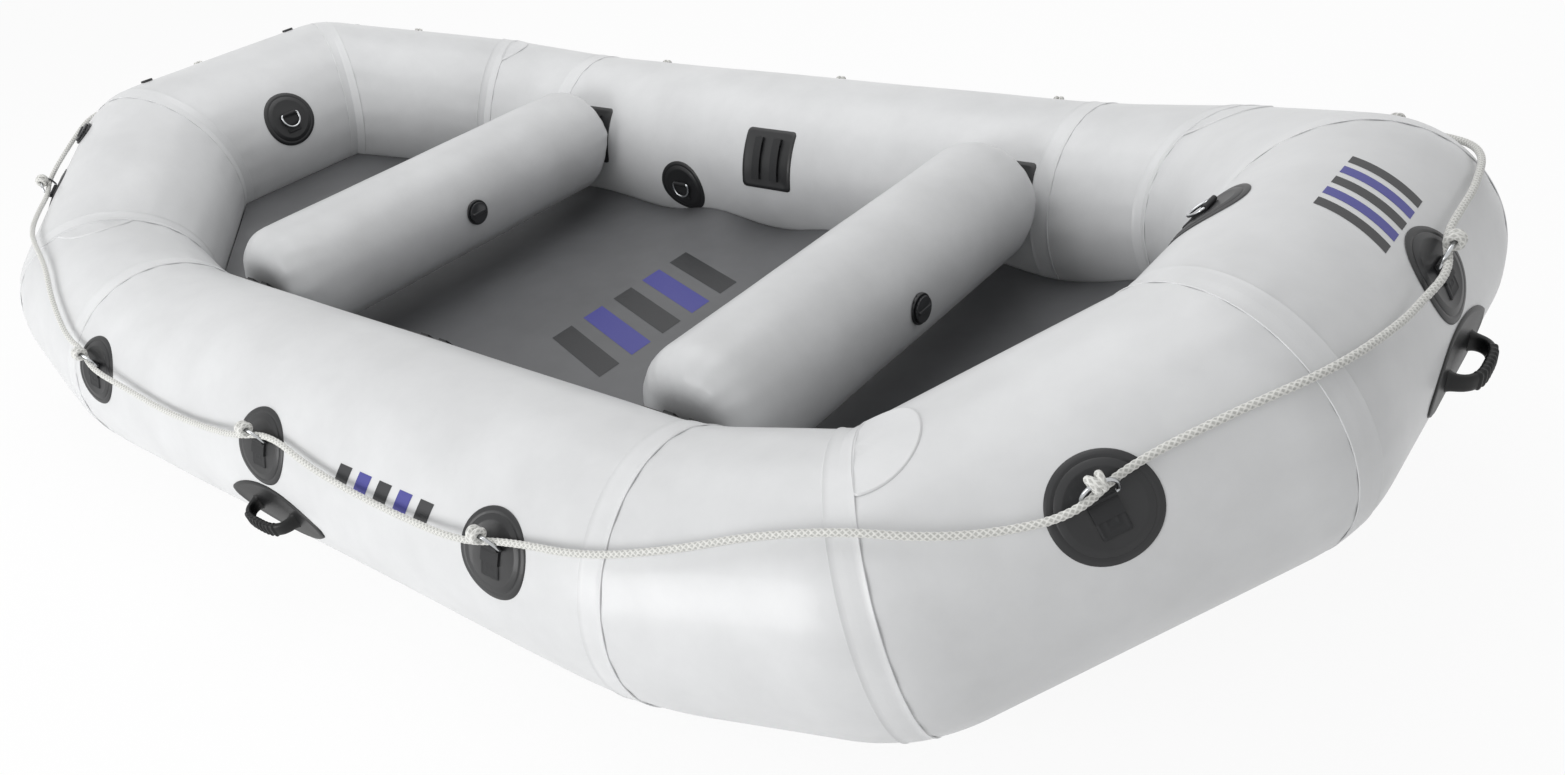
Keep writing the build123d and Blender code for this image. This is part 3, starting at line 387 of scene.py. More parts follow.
def materials():
    """All the finishes, by the record's slot names."""
    hull, floor = bpy.context.scene.raft_hull, bpy.context.scene.raft_floor
    vinyl = "Calendered vinyl"
    made = {
        # taut satin skin: soft broad highlights, and a slow mottle where it has been handled
        "tube_fabric": calendered_vinyl(f"{vinyl}, light grey", hull.fabric, 0.90, 0.40, 700.0, 0.25),
        # the same cloth on its bias and freshly glued: a shade cleaner than the wall under it
        "seam_fabric": calendered_vinyl(f"{vinyl} tape, light grey", "#DADBDC", 0.90, 0.42, 700.0, 0.1),
        # slacker than the hull: a little darker, with more dimples in its highlight
        "thwart_fabric": calendered_vinyl(f"{vinyl}, thwart grey", "#CDCECF", 0.89, 0.42, 700.0, 0.3),
        # coarser and duller, so that feet grip it: no clear highlight
        "floor_fabric": calendered_vinyl(f"{vinyl}, mid grey", floor.fabric, 0.83, 0.55, 500.0, 0.3),
        # glued plies lie flat: an even black with a thin bright line at each raised edge
        "patch_fabric": calendered_vinyl(f"{vinyl} patch, black", "#191A1C", 0.62, 0.50, 600.0, 0.1),
        # pressed from solid rubber: deep black, a soft sheen on the rounded backs
        "handle_rubber": moulded("Moulded rubber, black", "#101112", 0.44, 900.0, specular=0.35),
        # straight from the tool: black with a small sharp highlight on each rim
        "valve_plastic": moulded("Moulded nylon, black", "#18191B", 0.38, 1200.0),
        # the same nylon, scuffed by hands: greyer and flatter than the body round it
        "valve_cap_plastic": moulded("Moulded nylon, dark grey", "#2A2B2D", 0.42, 1200.0),
        # matt yarn: no highlight at all beside the rubber
        "webbing": moulded("Woven polyester webbing, black", "#141517", 0.70, 500.0),
        # inside wall of the same cloth, uncoated: flat and a shade darker
        "baffle_fabric": calendered_vinyl(f"{vinyl} baffle, grey", "#B9BABB", 0.90, 0.55, 700.0, 0.2),
        # ink sits on the vinyl and keeps its satin
        "ink_blue": moulded("Screen-printed vinyl ink, blue", "#3A3A8C", 0.42, 700.0),
        "ink_black": moulded("Screen-printed vinyl ink, black", "#1A1B1E", 0.42, 700.0),
        # undyed filament, seen only inside the floor
        "yarn": moulded("Drop-stitch polyester yarn, undyed", "#E4E4DE", 0.8, 2000.0),
    }
    made["braided_line"] = braided_line()
    # tumbled after bending: bright, with the surroundings a little blurred in it
    made["stainless_steel"] = finish_of("Stainless steel wire, tumbled", "#B9BBBD", 0.22, metallic=1.0)[0]
    # left as drawn: darker and duller than the rings
    made["spring_steel"] = finish_of("Spring steel wire, drawn", "#8E9093", 0.30, metallic=1.0)[0]
    return made


# ---------------------------------------------------------------- modelling helpers
def clear():
    """Deselects everything."""
    bpy.ops.object.select_all(action="DESELECT")


def only(*objs):
    """Selects these pieces alone, with the first of them active."""
    clear()
    for obj in objs:
        obj.select_set(True)
    bpy.context.view_layer.objects.active = objs[0]


def joined(name, objs):
    """Joins the pieces into one of this name."""
    only(*objs)
    if len(objs) > 1:
        bpy.ops.object.join()
    objs[0].name = name
    return objs[0]


def laid(name, across_count, along_count, place, weld=0.00002):
    """A grid of faces laid where place(u, v) says, with its doubled edges merged and faces outwards."""
    clear()
    bpy.ops.mesh.primitive_grid_add(
        x_subdivisions=across_count, y_subdivisions=along_count, size=2, calc_uvs=True
    )
    obj = bpy.context.object
    obj.name = name
    points = np.empty(len(obj.data.vertices) * 3)
    obj.data.vertices.foreach_get("co", points)
    points = points.reshape(-1, 3)
    laid_points = [place((x + 1) / 2, (y + 1) / 2) for x, y, _ in points]
    obj.data.vertices.foreach_set("co", np.array([tuple(p) for p in laid_points]).ravel())
    obj.data.update()
    bpy.ops.object.mode_set(mode="EDIT")
    bpy.ops.mesh.select_all(action="SELECT")
    bpy.ops.mesh.remove_doubles(threshold=weld)
    bpy.ops.mesh.normals_make_consistent(inside=False)
    bpy.ops.object.mode_set(mode="OBJECT")
    bpy.ops.object.shade_smooth()
    return obj


def finish_piece(obj, slot_name, *nodes, angle=None, body=None):
    """Smooths and paints a piece, and lets it stand for its CAD nodes."""
    only(obj)
    if angle:
        bpy.ops.object.shade_smooth_by_angle(angle=radians(angle))
    obj.data.materials.clear()
    obj.data.materials.append(FINISH[slot_name])
    if nodes:
        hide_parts(*nodes)
    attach(obj, body or "hull")
    return obj


def merged_copy(node_name):
    """A welded copy of a CAD node, ready to be smoothed."""
    source = frame["nodes"][node_name]
    clear()
    obj = source.copy()
    obj.data = source.data.copy()
    obj.parent = None
    obj.matrix_world = source.matrix_world.copy()
    obj.name = f"{node_name}_piece"
    for key in list(obj.keys()):
        del obj[key]
    bpy.context.scene.collection.objects.link(obj)
    only(obj)
    bpy.ops.object.mode_set(mode="EDIT")
    bpy.ops.mesh.select_all(action="SELECT")
    bpy.ops.mesh.remove_doubles(threshold=0.00001)
    bpy.ops.mesh.tris_convert_to_quads(face_threshold=radians(2), shape_threshold=radians(20))
    bpy.ops.object.mode_set(mode="OBJECT")
    return obj


def rounded(half_width, half_height, corner):
    """The outline of a rectangle with rounded corners, as reach by angle."""

    def outline(angle):
        c, s = abs(cos(angle)), abs(sin(angle))
        reach = min(half_width / max(c, 1e-9), half_height / max(s, 1e-9))
        flat_x, flat_y = half_width - corner, half_height - corner
        if c * reach > flat_x and s * reach > flat_y:
            along = c * flat_x + s * flat_y
            reach = along + sqrt(max(along * along - flat_x * flat_x - flat_y * flat_y + corner * corner, 0))
        return reach

    return outline


def step_at(steps, share):
    """The step nearest this share of the way through them."""
    last = len(steps) - 1
    return steps[min(int(share * last + 0.5), last)]


def ply(seat, outline, section, spokes):
    """A glued ply on a wall: outline(angle) is its reach, and section its steps from middle to rim."""

    def place(u, v):
        share, height = step_at(section, v)
        angle = u * 2 * pi
        reach = outline(angle) * max(share, 0.001)
        return seat.at(reach * cos(angle), reach * sin(angle), height / 1000)

    obj = laid("ply", spokes, len(section) - 1, place, weld=0.0003)
    face_towards(obj, seat.z)
    return obj


def evenly(points, count_in):
    """A line in even steps, count_in(its length) of them: its points, their distances and headings."""
    walked = np.concatenate([[0], np.cumsum(np.linalg.norm(np.diff(points, axis=0), axis=1))])
    marks = np.linspace(0, walked[-1], count_in(walked[-1]) + 1)
    line = np.stack([np.interp(marks, walked, points[:, i]) for i in range(points.shape[1])], axis=1)
    ahead = np.gradient(line, axis=0)
    ahead /= np.linalg.norm(ahead, axis=1)[:, None]
    return line, marks, ahead


def furthest(low, high, fits):
    """The furthest place between low and high that fits, found by halving."""
    for _ in range(20):
        half = (low + high) / 2
        low, high = (half, high) if fits(half) else (low, half)
    return low


FINISH = {}
BODY_OF = {n: body for body, names in frame["record"]["behaviour"]["bodies"].items() for n in names}


# ---------------------------------------------------------------- sizes a user may change
class HullSizes(bpy.types.PropertyGroup):
    """The ring tubes' look."""

    fabric: bpy.props.FloatVectorProperty(
        name="Fabric",
        description="Colour of the hull's fabric",
        subtype="COLOR",
        size=4,
        default=linear("#D6D7D8"),
    )
    pucker: bpy.props.FloatProperty(
        name="Pucker", description="Depth of the gathers beside a seam", default=0.0010, unit="LENGTH"
    )


class FloorSizes(bpy.types.PropertyGroup):
    """The floor's look."""

    fabric: bpy.props.FloatVectorProperty(
        name="Fabric",
        description="Colour of the floor's fabric",
        subtype="COLOR",
        size=4,
        default=linear("#626365"),
    )
    wave: bpy.props.FloatProperty(
        name="Wave", description="Rise and fall of the floor's edge", default=0.042, unit="LENGTH"
    )


class LineSizes(bpy.types.PropertyGroup):
    """The grab line."""

    diameter: bpy.props.FloatProperty(
        name="Diameter", description="Of the braided line", default=0.012, unit="LENGTH"
    )
    strands: bpy.props.IntProperty(name="Strands", description="Strands each way of the braid", default=8)


# ---------------------------------------------------------------- operators
def fade_out(distance, reach):
    """1 at no distance, and about a third at this reach."""
    return float(np.exp(-distance / reach))


def hull_tubes():
    """(name, kind, fore, side) of the ring's twelve tubes."""
    tubes = []
    for side, side_name in ((1, "port"), (-1, "starboard")):
        tubes.append((f"side_tube_{side_name}", "side", 1, side))
        for fore, fore_name in ((1, "bow"), (-1, "stern")):
            tubes.append((f"{fore_name}_shoulder_{side_name}", "shoulder", fore, side))
            tubes.append((f"{fore_name}_quarter_{side_name}", "quarter", fore, side))
    tubes += [("bow_end_tube", "end", 1, 1), ("stern_end_tube", "end", -1, 1)]
    return tubes


def tube_here(kind, fore, side):
    """The tube of this kind in this quarter of the hull."""
    return Tube(*[bend.moved(fore, side) for bend in HULL[kind]])


class RAFT_OT_hull(bpy.types.Operator):
    """Inflates the ring's twelve tubes, gathered a little at their seams"""

    bl_idname = "raft.hull"
    bl_label = "Hull tubes"

    def execute(self, context):
        pucker = context.scene.raft_hull.pucker
        for name, kind, fore, side in hull_tubes():
            tube = tube_here(kind, fore, side)
            rows = 90 if kind == "side" else 60

            def place(u, v):
                angle = u * 2 * pi
                length = tube.length(angle)
                distance = (0.5 - 0.5 * cos(pi * v)) * length
                near = min(distance, length - distance)
                point, out = tube.wall(angle, distance)
                gather = sin(angle * 23 + 4 * noise.noise(point * 3)) * fade_out(near, 0.06)
                slack = noise.noise(point * 4.0) * 0.0012
                fade = min(1.0, near / 0.03)
                point += out * ((pucker * gather + slack) * fade - 0.0002)
                point.z = max(point.z, 0.0)
                return point

            obj = laid(name + "_inflated", 144, rows, place)
            finish_piece(obj, "tube_fabric", name)
        return {"FINISHED"}


class RAFT_OT_seams(bpy.types.Operator):
    """Glues the tapes over the seams and the round patches over the quarter seams"""

    bl_idname = "raft.seams"
    bl_label = "Seam tapes"

    def execute(self, context):
        bands, discs = [], []
        for fore in (1, -1):
            for side in (1, -1):
                for before, after in (("side", "shoulder"), ("shoulder", "quarter"), ("quarter", "end")):
                    for kind, corner in ((before, after), (after, before)):
                        bands.append(self.band(fore, side, kind, corner))
                discs.append(self.corner_disc(fore, side))
        finish_piece(joined("seam_tapes_glued", bands), "seam_fabric", "seam_tapes")
        finish_piece(joined("corner_patches_glued", discs), "seam_fabric", "corner_patches")
        return {"FINISHED"}

    def band(self, fore, side, kind, beside):
        """Half a tape's width, on the tube of this kind, at its seam with the one beside it."""
        order = list(HULL)
        tube = tube_here(kind, fore, side)
        at_last = order.index(kind) < order.index(beside)
        # the tape over the end bend is rolled down flatter than the others
        edge = 1.25 if "end" in (kind, beside) else 1.9
        rises = ((0.0, 1.0), (0.5, 1.0), (0.90, 1.0), (0.96, edge), (0.985, edge * 0.84), (1.0, 0.0))

        def place(u, v):
            share, rise = step_at(rises, v)
            angle = u * 2 * pi
            distance = share * TAPE_HALF
            if at_last:
                distance = tube.length(angle) - distance
            return tube.wall(angle, distance, TAPE_TOP * rise)[0]

        return laid("band", 144, len(rises) - 1, place)

    def corner_disc(self, fore, side):
        """A round ply over the top of a quarter seam, whose raised edge shows most."""
        tubes = [tube_here(kind, fore, side) for kind in ("shoulder", "quarter")]
        centre, disc_radius = quarter_seat(fore, side, 0.086, 99), 0.105
        profile = ((0, 1.0), (0.5, 1.0), (0.94, 1.0), (0.965, 1.7), (0.985, 1.5), (1.0, 0.0))

        def place(u, v):
            share, rise = step_at(profile, v)
            angle = u * 2 * pi
            reach = disc_radius * max(share, 0.001)
            flat = centre.at(reach * cos(angle), reach * sin(angle), 0)
            short = TAPE_HALF - (flat - tubes[1].first.corner).dot(tubes[1].first.along) * fore
            if short > 0:
                flat += tubes[1].run * short * fore
            return onto_hull(flat, tubes, 0.0002 + 0.0014 * rise)

        obj = laid("corner_disc", 72, len(profile) - 1, place)
        face_towards(obj, centre.z)
        return obj


def onto_hull(point, tubes, height):
    """The point moved on to the nearest of these tubes' walls, and height above it."""
    best = None
    for tube in tubes:
        for start, stop in axis_runs(tube):
            along = stop - start
            share = max(0.0, min(1.0, (point - start).dot(along) / along.length_squared))
            foot = start + along * share
            if best is None or (point - foot).length < best[0]:
                best = ((point - foot).length, foot)
    return best[1] + (point - best[1]).normalized() * (RADIUS + height)


def axis_runs(tube):
    """The tube's axis from seam to seam, its bends in short straight runs."""
    points = []
    for bend, tangent, walk in ((tube.first, tube.start, -tube.run), (tube.last, tube.stop, tube.run)):
        outward = (tangent - bend.centre).normalized()
        arc = []
        for step in range(7):
            spin = Matrix.Rotation(bend.half_turn * step / 6, 3, outward.cross(walk))
            arc.append(bend.centre + spin @ (tangent - bend.centre))
        points.append(arc)
    line = list(reversed(points[0])) + points[1]
    return list(zip(line, line[1:]))


def face_towards(obj, direction):
    """Turns the faces of an open ply over if they look into the wall."""
    total = sum((p.normal.dot(direction) * p.area for p in obj.data.polygons), 0.0)
    if total < 0:
        only(obj)
        bpy.ops.object.mode_set(mode="EDIT")
        bpy.ops.mesh.select_all(action="SELECT")
        bpy.ops.mesh.flip_normals()
        bpy.ops.object.mode_set(mode="OBJECT")


class RAFT_OT_thwarts(bpy.types.Operator):
    """Inflates the two thwarts, whose ends are saddled to the side tubes"""

    bl_idname = "raft.thwarts"
    bl_label = "Thwarts"

    def execute(self, context):
        gap, round_off = 0.0112, 0.075
        for fore, name in ((1, "bow"), (-1, "stern")):
            middle_rows, round_rows, flat_rows = 40, 10, 5
            rows = middle_rows + 2 * (round_rows + flat_rows)

            def place(u, v):
                angle = u * 2 * pi
                row = v * rows
                half = -1 if row < rows / 2 else 1
                step = row if half < 0 else rows - row
                rim = Vector((sin(angle), 0, cos(angle)))
                radius = THWART_RADIUS
                if step < flat_rows:
                    radius = (THWART_RADIUS - round_off) * max(step / flat_rows, 0.003)
                    into = 0.0
                elif step < flat_rows + round_rows:
                    turn = (step - flat_rows) / round_rows * pi / 2
                    radius = THWART_RADIUS - round_off + round_off * sin(turn)
                    into = round_off * (1 - cos(turn))
                else:
                    into = None
                height = THWART_Z - RADIUS + rim.z * radius
                wall = SHOULDER.y - sqrt(max((RADIUS + gap) ** 2 - height**2, 0.0))
                reach = min(THWART_HALF, wall if abs(height) < RADIUS + gap else THWART_HALF)
                if into is None:
                    share = (row - flat_rows - round_rows) / middle_rows * 2 - 1
                    y = share * (min(THWART_HALF, reach) - round_off)
                else:
                    y = half * (reach - into)
                point = Vector((fore * THWART_X, y, THWART_Z)) + rim * radius
                slack = noise.noise(point * 5.0) * 0.0018
                wrinkle = sin(angle * 19 + 5 * noise.noise(point * 6)) * fade_out(reach - abs(y), 0.05)
                return point + rim * ((slack + 0.0012 * wrinkle) * min(1, radius / 0.1) - 0.0015)

            obj = laid(f"{name}_thwart_inflated", 112, rows, place)
            finish_piece(obj, "thwart_fabric", f"{name}_thwart_barrel", f"{name}_thwart_ends")
        return {"FINISHED"}


class RAFT_OT_floor(bpy.types.Operator):
    """Lays the drop-stitch floor between the tubes, kicked up at both ends"""

    bl_idname = "raft.floor"
    bl_label = "Floor"

    def execute(self, context):
        self.axis = []
        for kind in HULL:
            self.axis += axis_runs(tube_here(kind, 1, 1))
        self.starts = np.array([tuple(a) for a, b in self.axis])
        self.runs = np.array([tuple(b) for a, b in self.axis]) - self.starts
        wave = context.scene.raft_floor.wave
        levels = (1.0, 0.8, 0.55, 0.3, 0.0)
        ends = [self.tip(level) for level in levels]
        across_rows, along_rows = 48, 96
        loop = [(-1 + 2 * i / across_rows, 0) for i in range(across_rows + 1)]
        loop += [(1, level) for level in range(1, len(levels) - 1)]
        loop += [(1 - 2 * i / 12, len(levels) - 1) for i in range(13)]
        loop += [(-1, level) for level in range(len(levels) - 2, 0, -1)]
        widths = {}

        def place(u, v):
            share_y, level = loop[int(u * len(loop) + 0.5) % len(loop)]
            share_x = v * 2 - 1
            x = share_x * ends[level]
            z = self.height(abs(x), levels[level])
            lift = 0.0
            if level == 0:
                # the edge rides up the tube's wall and back, and never dips on to the yarns
                side = 1 if share_y > 0 else -1
                drift = 2.5 * noise.noise(Vector((x * 1.9, side * 2.4, 0.3)))
                rise = 0.5 + 0.5 * cos(13.5 * x + 2.9 * side + drift)
                lift = 0.8 * wave * rise * min(1.0, (ends[0] - abs(x)) / 0.2)
            key = (round(x, 5), level, lift)
            if key not in widths:
                widths[key] = self.width(min(abs(x), ends[level] - 0.002), z + lift)
            y = share_y * widths[key]
            if level == 0:
                edge = abs(share_y) ** 10
                slack = max(0.0, 0.5 + noise.noise(Vector((x * 1.5, y * 1.5, 1.7)))) * 0.0012
                z += lift * edge + slack * (1 - edge)
            return Vector((x, y, z))

        obj = laid("floor_mat", len(loop), along_rows, place)
        only(obj)
        bpy.ops.object.mode_set(mode="EDIT")
        bpy.ops.mesh.select_all(action="SELECT")
        bpy.ops.mesh.fill_holes(sides=0)
        bpy.ops.mesh.normals_make_consistent(inside=False)
        bpy.ops.object.mode_set(mode="OBJECT")
        finish_piece(
            obj, "floor_fabric", "floor_top_skin", "floor_bottom_skin", "floor_side_wall", angle=50
        )
        return {"FINISHED"}

    def middle(self, x):
        """Height of the middle of the floor's thickness: flat amidships, kicked up at the ends."""
        knots = ((0.0, 0.060), (0.855, 0.060), (1.129, 0.104), (1.450, 0.280), (1.650, 0.375))
        shifts = np.linspace(-0.10, 0.10, 9)
        return float(np.mean(np.interp(np.abs(x + shifts), [k[0] for k in knots], [k[1] for k in knots])))

    def height(self, x, level):
        """Height of the underside (level 0), the top (level 1) or between them."""
        slope = (self.middle(x + 0.01) - self.middle(x - 0.01)) / 0.02
        half = FLOOR_THICKNESS / 2 * sqrt(1 + slope * slope)
        return self.middle(x) + (2 * level - 1) * half

    def clearance(self, x, y, z):
        """How far this point is outside the tubes' walls and the tapes on them."""
        to = np.array((x, y, z)) - self.starts
        share = np.clip((to * self.runs).sum(1) / (self.runs**2).sum(1), 0, 1)
        return float(np.linalg.norm(to - self.runs * share[:, None], axis=1).min()) - RADIUS - 0.0024

    def plan(self, x):
        """Half the floor's width where only its own cut limits it."""
        knots = ((0.0, 0.690), (0.880, 0.690), (1.240, 0.615), (1.500, 0.330), (1.700, 0.1))
        return float(np.interp(x, [k[0] for k in knots], [k[1] for k in knots]))

    def width(self, x, z):
        """Half the floor's width here, up to the tubes or its own cut."""
        cut = self.plan(x)
        if self.clearance(x, cut, z) >= 0:
            return cut
        return furthest(0.0, cut, lambda y: self.clearance(x, y, z) >= 0)

    def tip(self, level):
        """How far ahead the floor reaches at this level before it meets the bow tube."""
        return furthest(1.0, 1.6, lambda x: self.clearance(x, 0, self.height(x, level)) >= 0)


class RAFT_OT_patches(bpy.types.Operator):
    """Glues the round ring patches, each a base ply with an embossed ring and a cover ply"""

    bl_idname = "raft.patches"
    bl_label = "Ring patches"

    def execute(self, context):
        bases, covers = [], []
        for seat in rope_ring_seats(PATCH_DROP) + free_ring_seats(PATCH_DROP):
            bases.append(ply(seat, lambda angle: RING_PATCH, RING_BASE_PLY, 72))
            covers.append(ply(seat, lambda angle: RING_COVER, RING_COVER_PLY, 72))
        finish_piece(joined("ring_patches_glued", bases), "patch_fabric", "ring_base_patches")
        finish_piece(joined("ring_covers_glued", covers), "patch_fabric", "ring_cover_patches")
        tail = rounded(0.022, 0.025, 0.003)
        seats = rope_ring_seats(TAIL_DROP) + free_ring_seats(TAIL_DROP)
        tails = [ply(seat, tail, STRAP_TAIL, 64) for seat in seats]
        finish_piece(joined("strap_tails_sewn", tails), "webbing")
        return {"FINISHED"}


class RAFT_OT_mounts(bpy.types.Operator):
    """Glues the square thwart mounts inside the side tubes"""

    bl_idname = "raft.mounts"
    bl_label = "Thwart mounts"

    def execute(self, context):
        outline = rounded(MOUNT_HALF, MOUNT_HALF, MOUNT_ROUND)
        seats = [side_seat(x, MOUNT_ELEVATION, side, -1) for side in (1, -1) for x in MOUNT_XS]
        plies = [ply(seat, outline, MOUNT_PLY, 96) for seat in seats]
        finish_piece(joined("mount_patches_glued", plies), "patch_fabric", "mount_patches")
        return {"FINISHED"}


class RAFT_OT_handles(bpy.types.Operator):
    """Glues the leaf-shaped handle patches"""

    bl_idname = "raft.handles"
    bl_label = "Handle patches"

    def execute(self, context):
        half_length, half_height, tip_round = LEAF_LENGTH / 2, LEAF_WIDTH / 2, 0.012
        arc = (half_length**2 + half_height**2) / (2 * half_height)

        def outline(angle):
            """Two arcs that meet in rounded tips."""
            c, s = abs(cos(angle)), abs(sin(angle))
            low = arc - half_height
            reach = -s * low + sqrt(s * s * low * low + arc * arc - low * low)
            return min(reach, (half_length - tip_round) / max(c, 1e-6) if c > 0.97 else reach)

        seats = [end_seat(fore, 0, END_HANDLE_ELEVATION) for fore in (1, -1)]
        seats += [side_seat(RING_ROW[1], HANDLE_ELEVATION, side) for side in (1, -1)]
        leaves = [ply(seat, outline, LEAF_PLY, 144) for seat in seats]
        finish_piece(joined("handle_patches_glued", leaves), "handle_rubber", "handle_patches")
        for name, seat in zip(("bow", "stern", "port", "starboard"), seats):
            finish_piece(self.grip(seat, name), "handle_rubber", f"{name}_handle", angle=60)
        return {"FINISHED"}

    def grip(self, seat, name):
        """A moulded band that arches off its leaf, ribbed along its back and flared at its feet."""
        half_span, rise, half_width, half_thick = 0.067, 0.042, 0.014, 0.0070
        rib_pitch, rib_depth, ribbed_half = 0.0115, 0.0027, 0.050
        steps, squareness = 180, 3.2
        turns = np.linspace(0, pi, 2001)
        span = -half_span * np.sign(np.cos(turns)) * np.abs(np.cos(turns)) ** 0.62
        arch = np.stack([span, rise * np.sin(turns) ** 0.72], axis=1)
        line, marks, ahead = evenly(arch, lambda length: steps)

        def place(u, v):
            i = int(v * steps + 0.5)
            along = abs(marks[i] - marks[-1] / 2)
            rib = max(0.0, cos(2 * pi * along / rib_pitch)) ** 0.5 * rib_depth if along < ribbed_half else 0.0
            flare = 1 + 0.55 * fade_out(line[i][1], 0.006)
            angle = u * 2 * pi
            c, n = cos(angle), sin(angle)
            squarish = (abs(c) ** squareness + abs(n) ** squareness) ** (-1 / squareness)
            wide = c * squarish * (half_width + rib * 0.6) * flare
            thick = n * squarish * half_thick * flare + (rib if n > 0.2 else 0.0)
            out_x, out_z = -ahead[i][1], ahead[i][0]
            x, z = line[i][0] + out_x * thick, line[i][1] + out_z * thick
            return seat.origin + seat.x * x + seat.y * wide + seat.z * max(z, 0.001)

        return laid(f"{name}_grip_moulded", 28, steps, place)


class RAFT_OT_marks(bpy.types.Operator):
    """Prints plain coloured bars on the bow, the floor and the starboard side"""

    bl_idname = "raft.marks"
    bl_label = "Printed bars"

    def execute(self, context):
        floor = Seat(Vector((-0.02, 0.05, 0.12)), Vector((0, -1, 0)), Vector((0, 0, 1)), 0)
        places = (
            (end_seat(1, 0.03, 70), "bow_end_tube_inflated", "tube_fabric", 0.17, 0.13),
            (floor, "floor_mat", "floor_fabric", 0.46, 0.26),
            (side_seat(0.350, 29, -1), "side_tube_starboard_inflated", "tube_fabric", 0.24, 0.045),
        )
        for index, (seat, target, slot_name, width, height) in enumerate(places):
            for colour, shares in (("blue", (-0.25, 0.25)), ("black", (-0.5, 0.0, 0.5))):
                bars = [self.bar(seat, target, share * width, width / 6.5, height) for share in shares]
                obj = finish_piece(joined(f"printed_bars_{colour}_{index}", bars), slot_name)
                obj.data.materials.clear()
                obj.data.materials.append(FINISH[f"ink_{colour}"])
        return {"FINISHED"}

    def bar(self, seat, target, shift, width, height):
        """A slanted bar of this width and height, laid on the piece that it is printed on."""

        def place(u, v):
            up = (v - 0.5) * height
            return seat.at(shift + (u - 0.5) * width + 0.35 * up, up, 0.002)

        obj = laid("bar", 12, 24, place)
        face_towards(obj, seat.z)
        only(obj)
        wrap = obj.modifiers.new("lay", "SHRINKWRAP")
        wrap.target, wrap.offset = bpy.data.objects[target], 0.0004
        wrap.wrap_method, wrap.wrap_mode = "NEAREST_SURFACEPOINT", "OUTSIDE_SURFACE"
        bpy.ops.object.modifier_apply(modifier="lay")
        return obj


class RAFT_OT_fittings(bpy.types.Operator):
    """Finishes the rigid fittings: rings, straps, valves and their nuts, with the baffles and the floor's
    yarns
    """

    bl_idname = "raft.fittings"
    bl_label = "Fittings"

    def execute(self, context):
        rings = ["line_rings", "bow_ring", "stern_ring"]
        rings += [f"{side}_aft_ring" for side in ("port", "starboard")]
        for name in rings:
            self.finish(name, "stainless_steel", 40)
        for name in ("ring_straps", "mount_straps"):
            self.finish(name, "webbing", 35)
        for name in ("valve_bodies", "relief_valves", "valve_nuts"):
            self.finish(name, "valve_plastic", 35)
        for name in ("port_quarter", "starboard_quarter", "bow_thwart", "stern_thwart", "floor"):
            self.finish(f"{name}_cap", "valve_cap_plastic", 35)
            self.finish(f"{name}_poppet", "valve_plastic", 35)
            self.settle(self.finish(f"{name}_spring", "spring_steel", 60), f"{name}_poppet_press")
        for name, slot in (("chamber_baffles", "baffle_fabric"), ("drop_stitch_yarns", "yarn")):
            self.finish(name, slot, 60)
        return {"FINISHED"}

    def finish(self, name, slot_name, angle):
        """A smoothed and painted copy of a CAD node, on that node's body."""
        return finish_piece(merged_copy(name), slot_name, name, angle=angle, body=BODY_OF[name])

    def settle(self, spring, joint_name):
        """Gives the spring a mesh of its own and reads the axis along which its poppet is pressed."""
        joint = next(j for j in frame["record"]["behaviour"]["joints"] if j["name"] == joint_name)
        push = Vector(joint["axis"])
        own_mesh(spring)


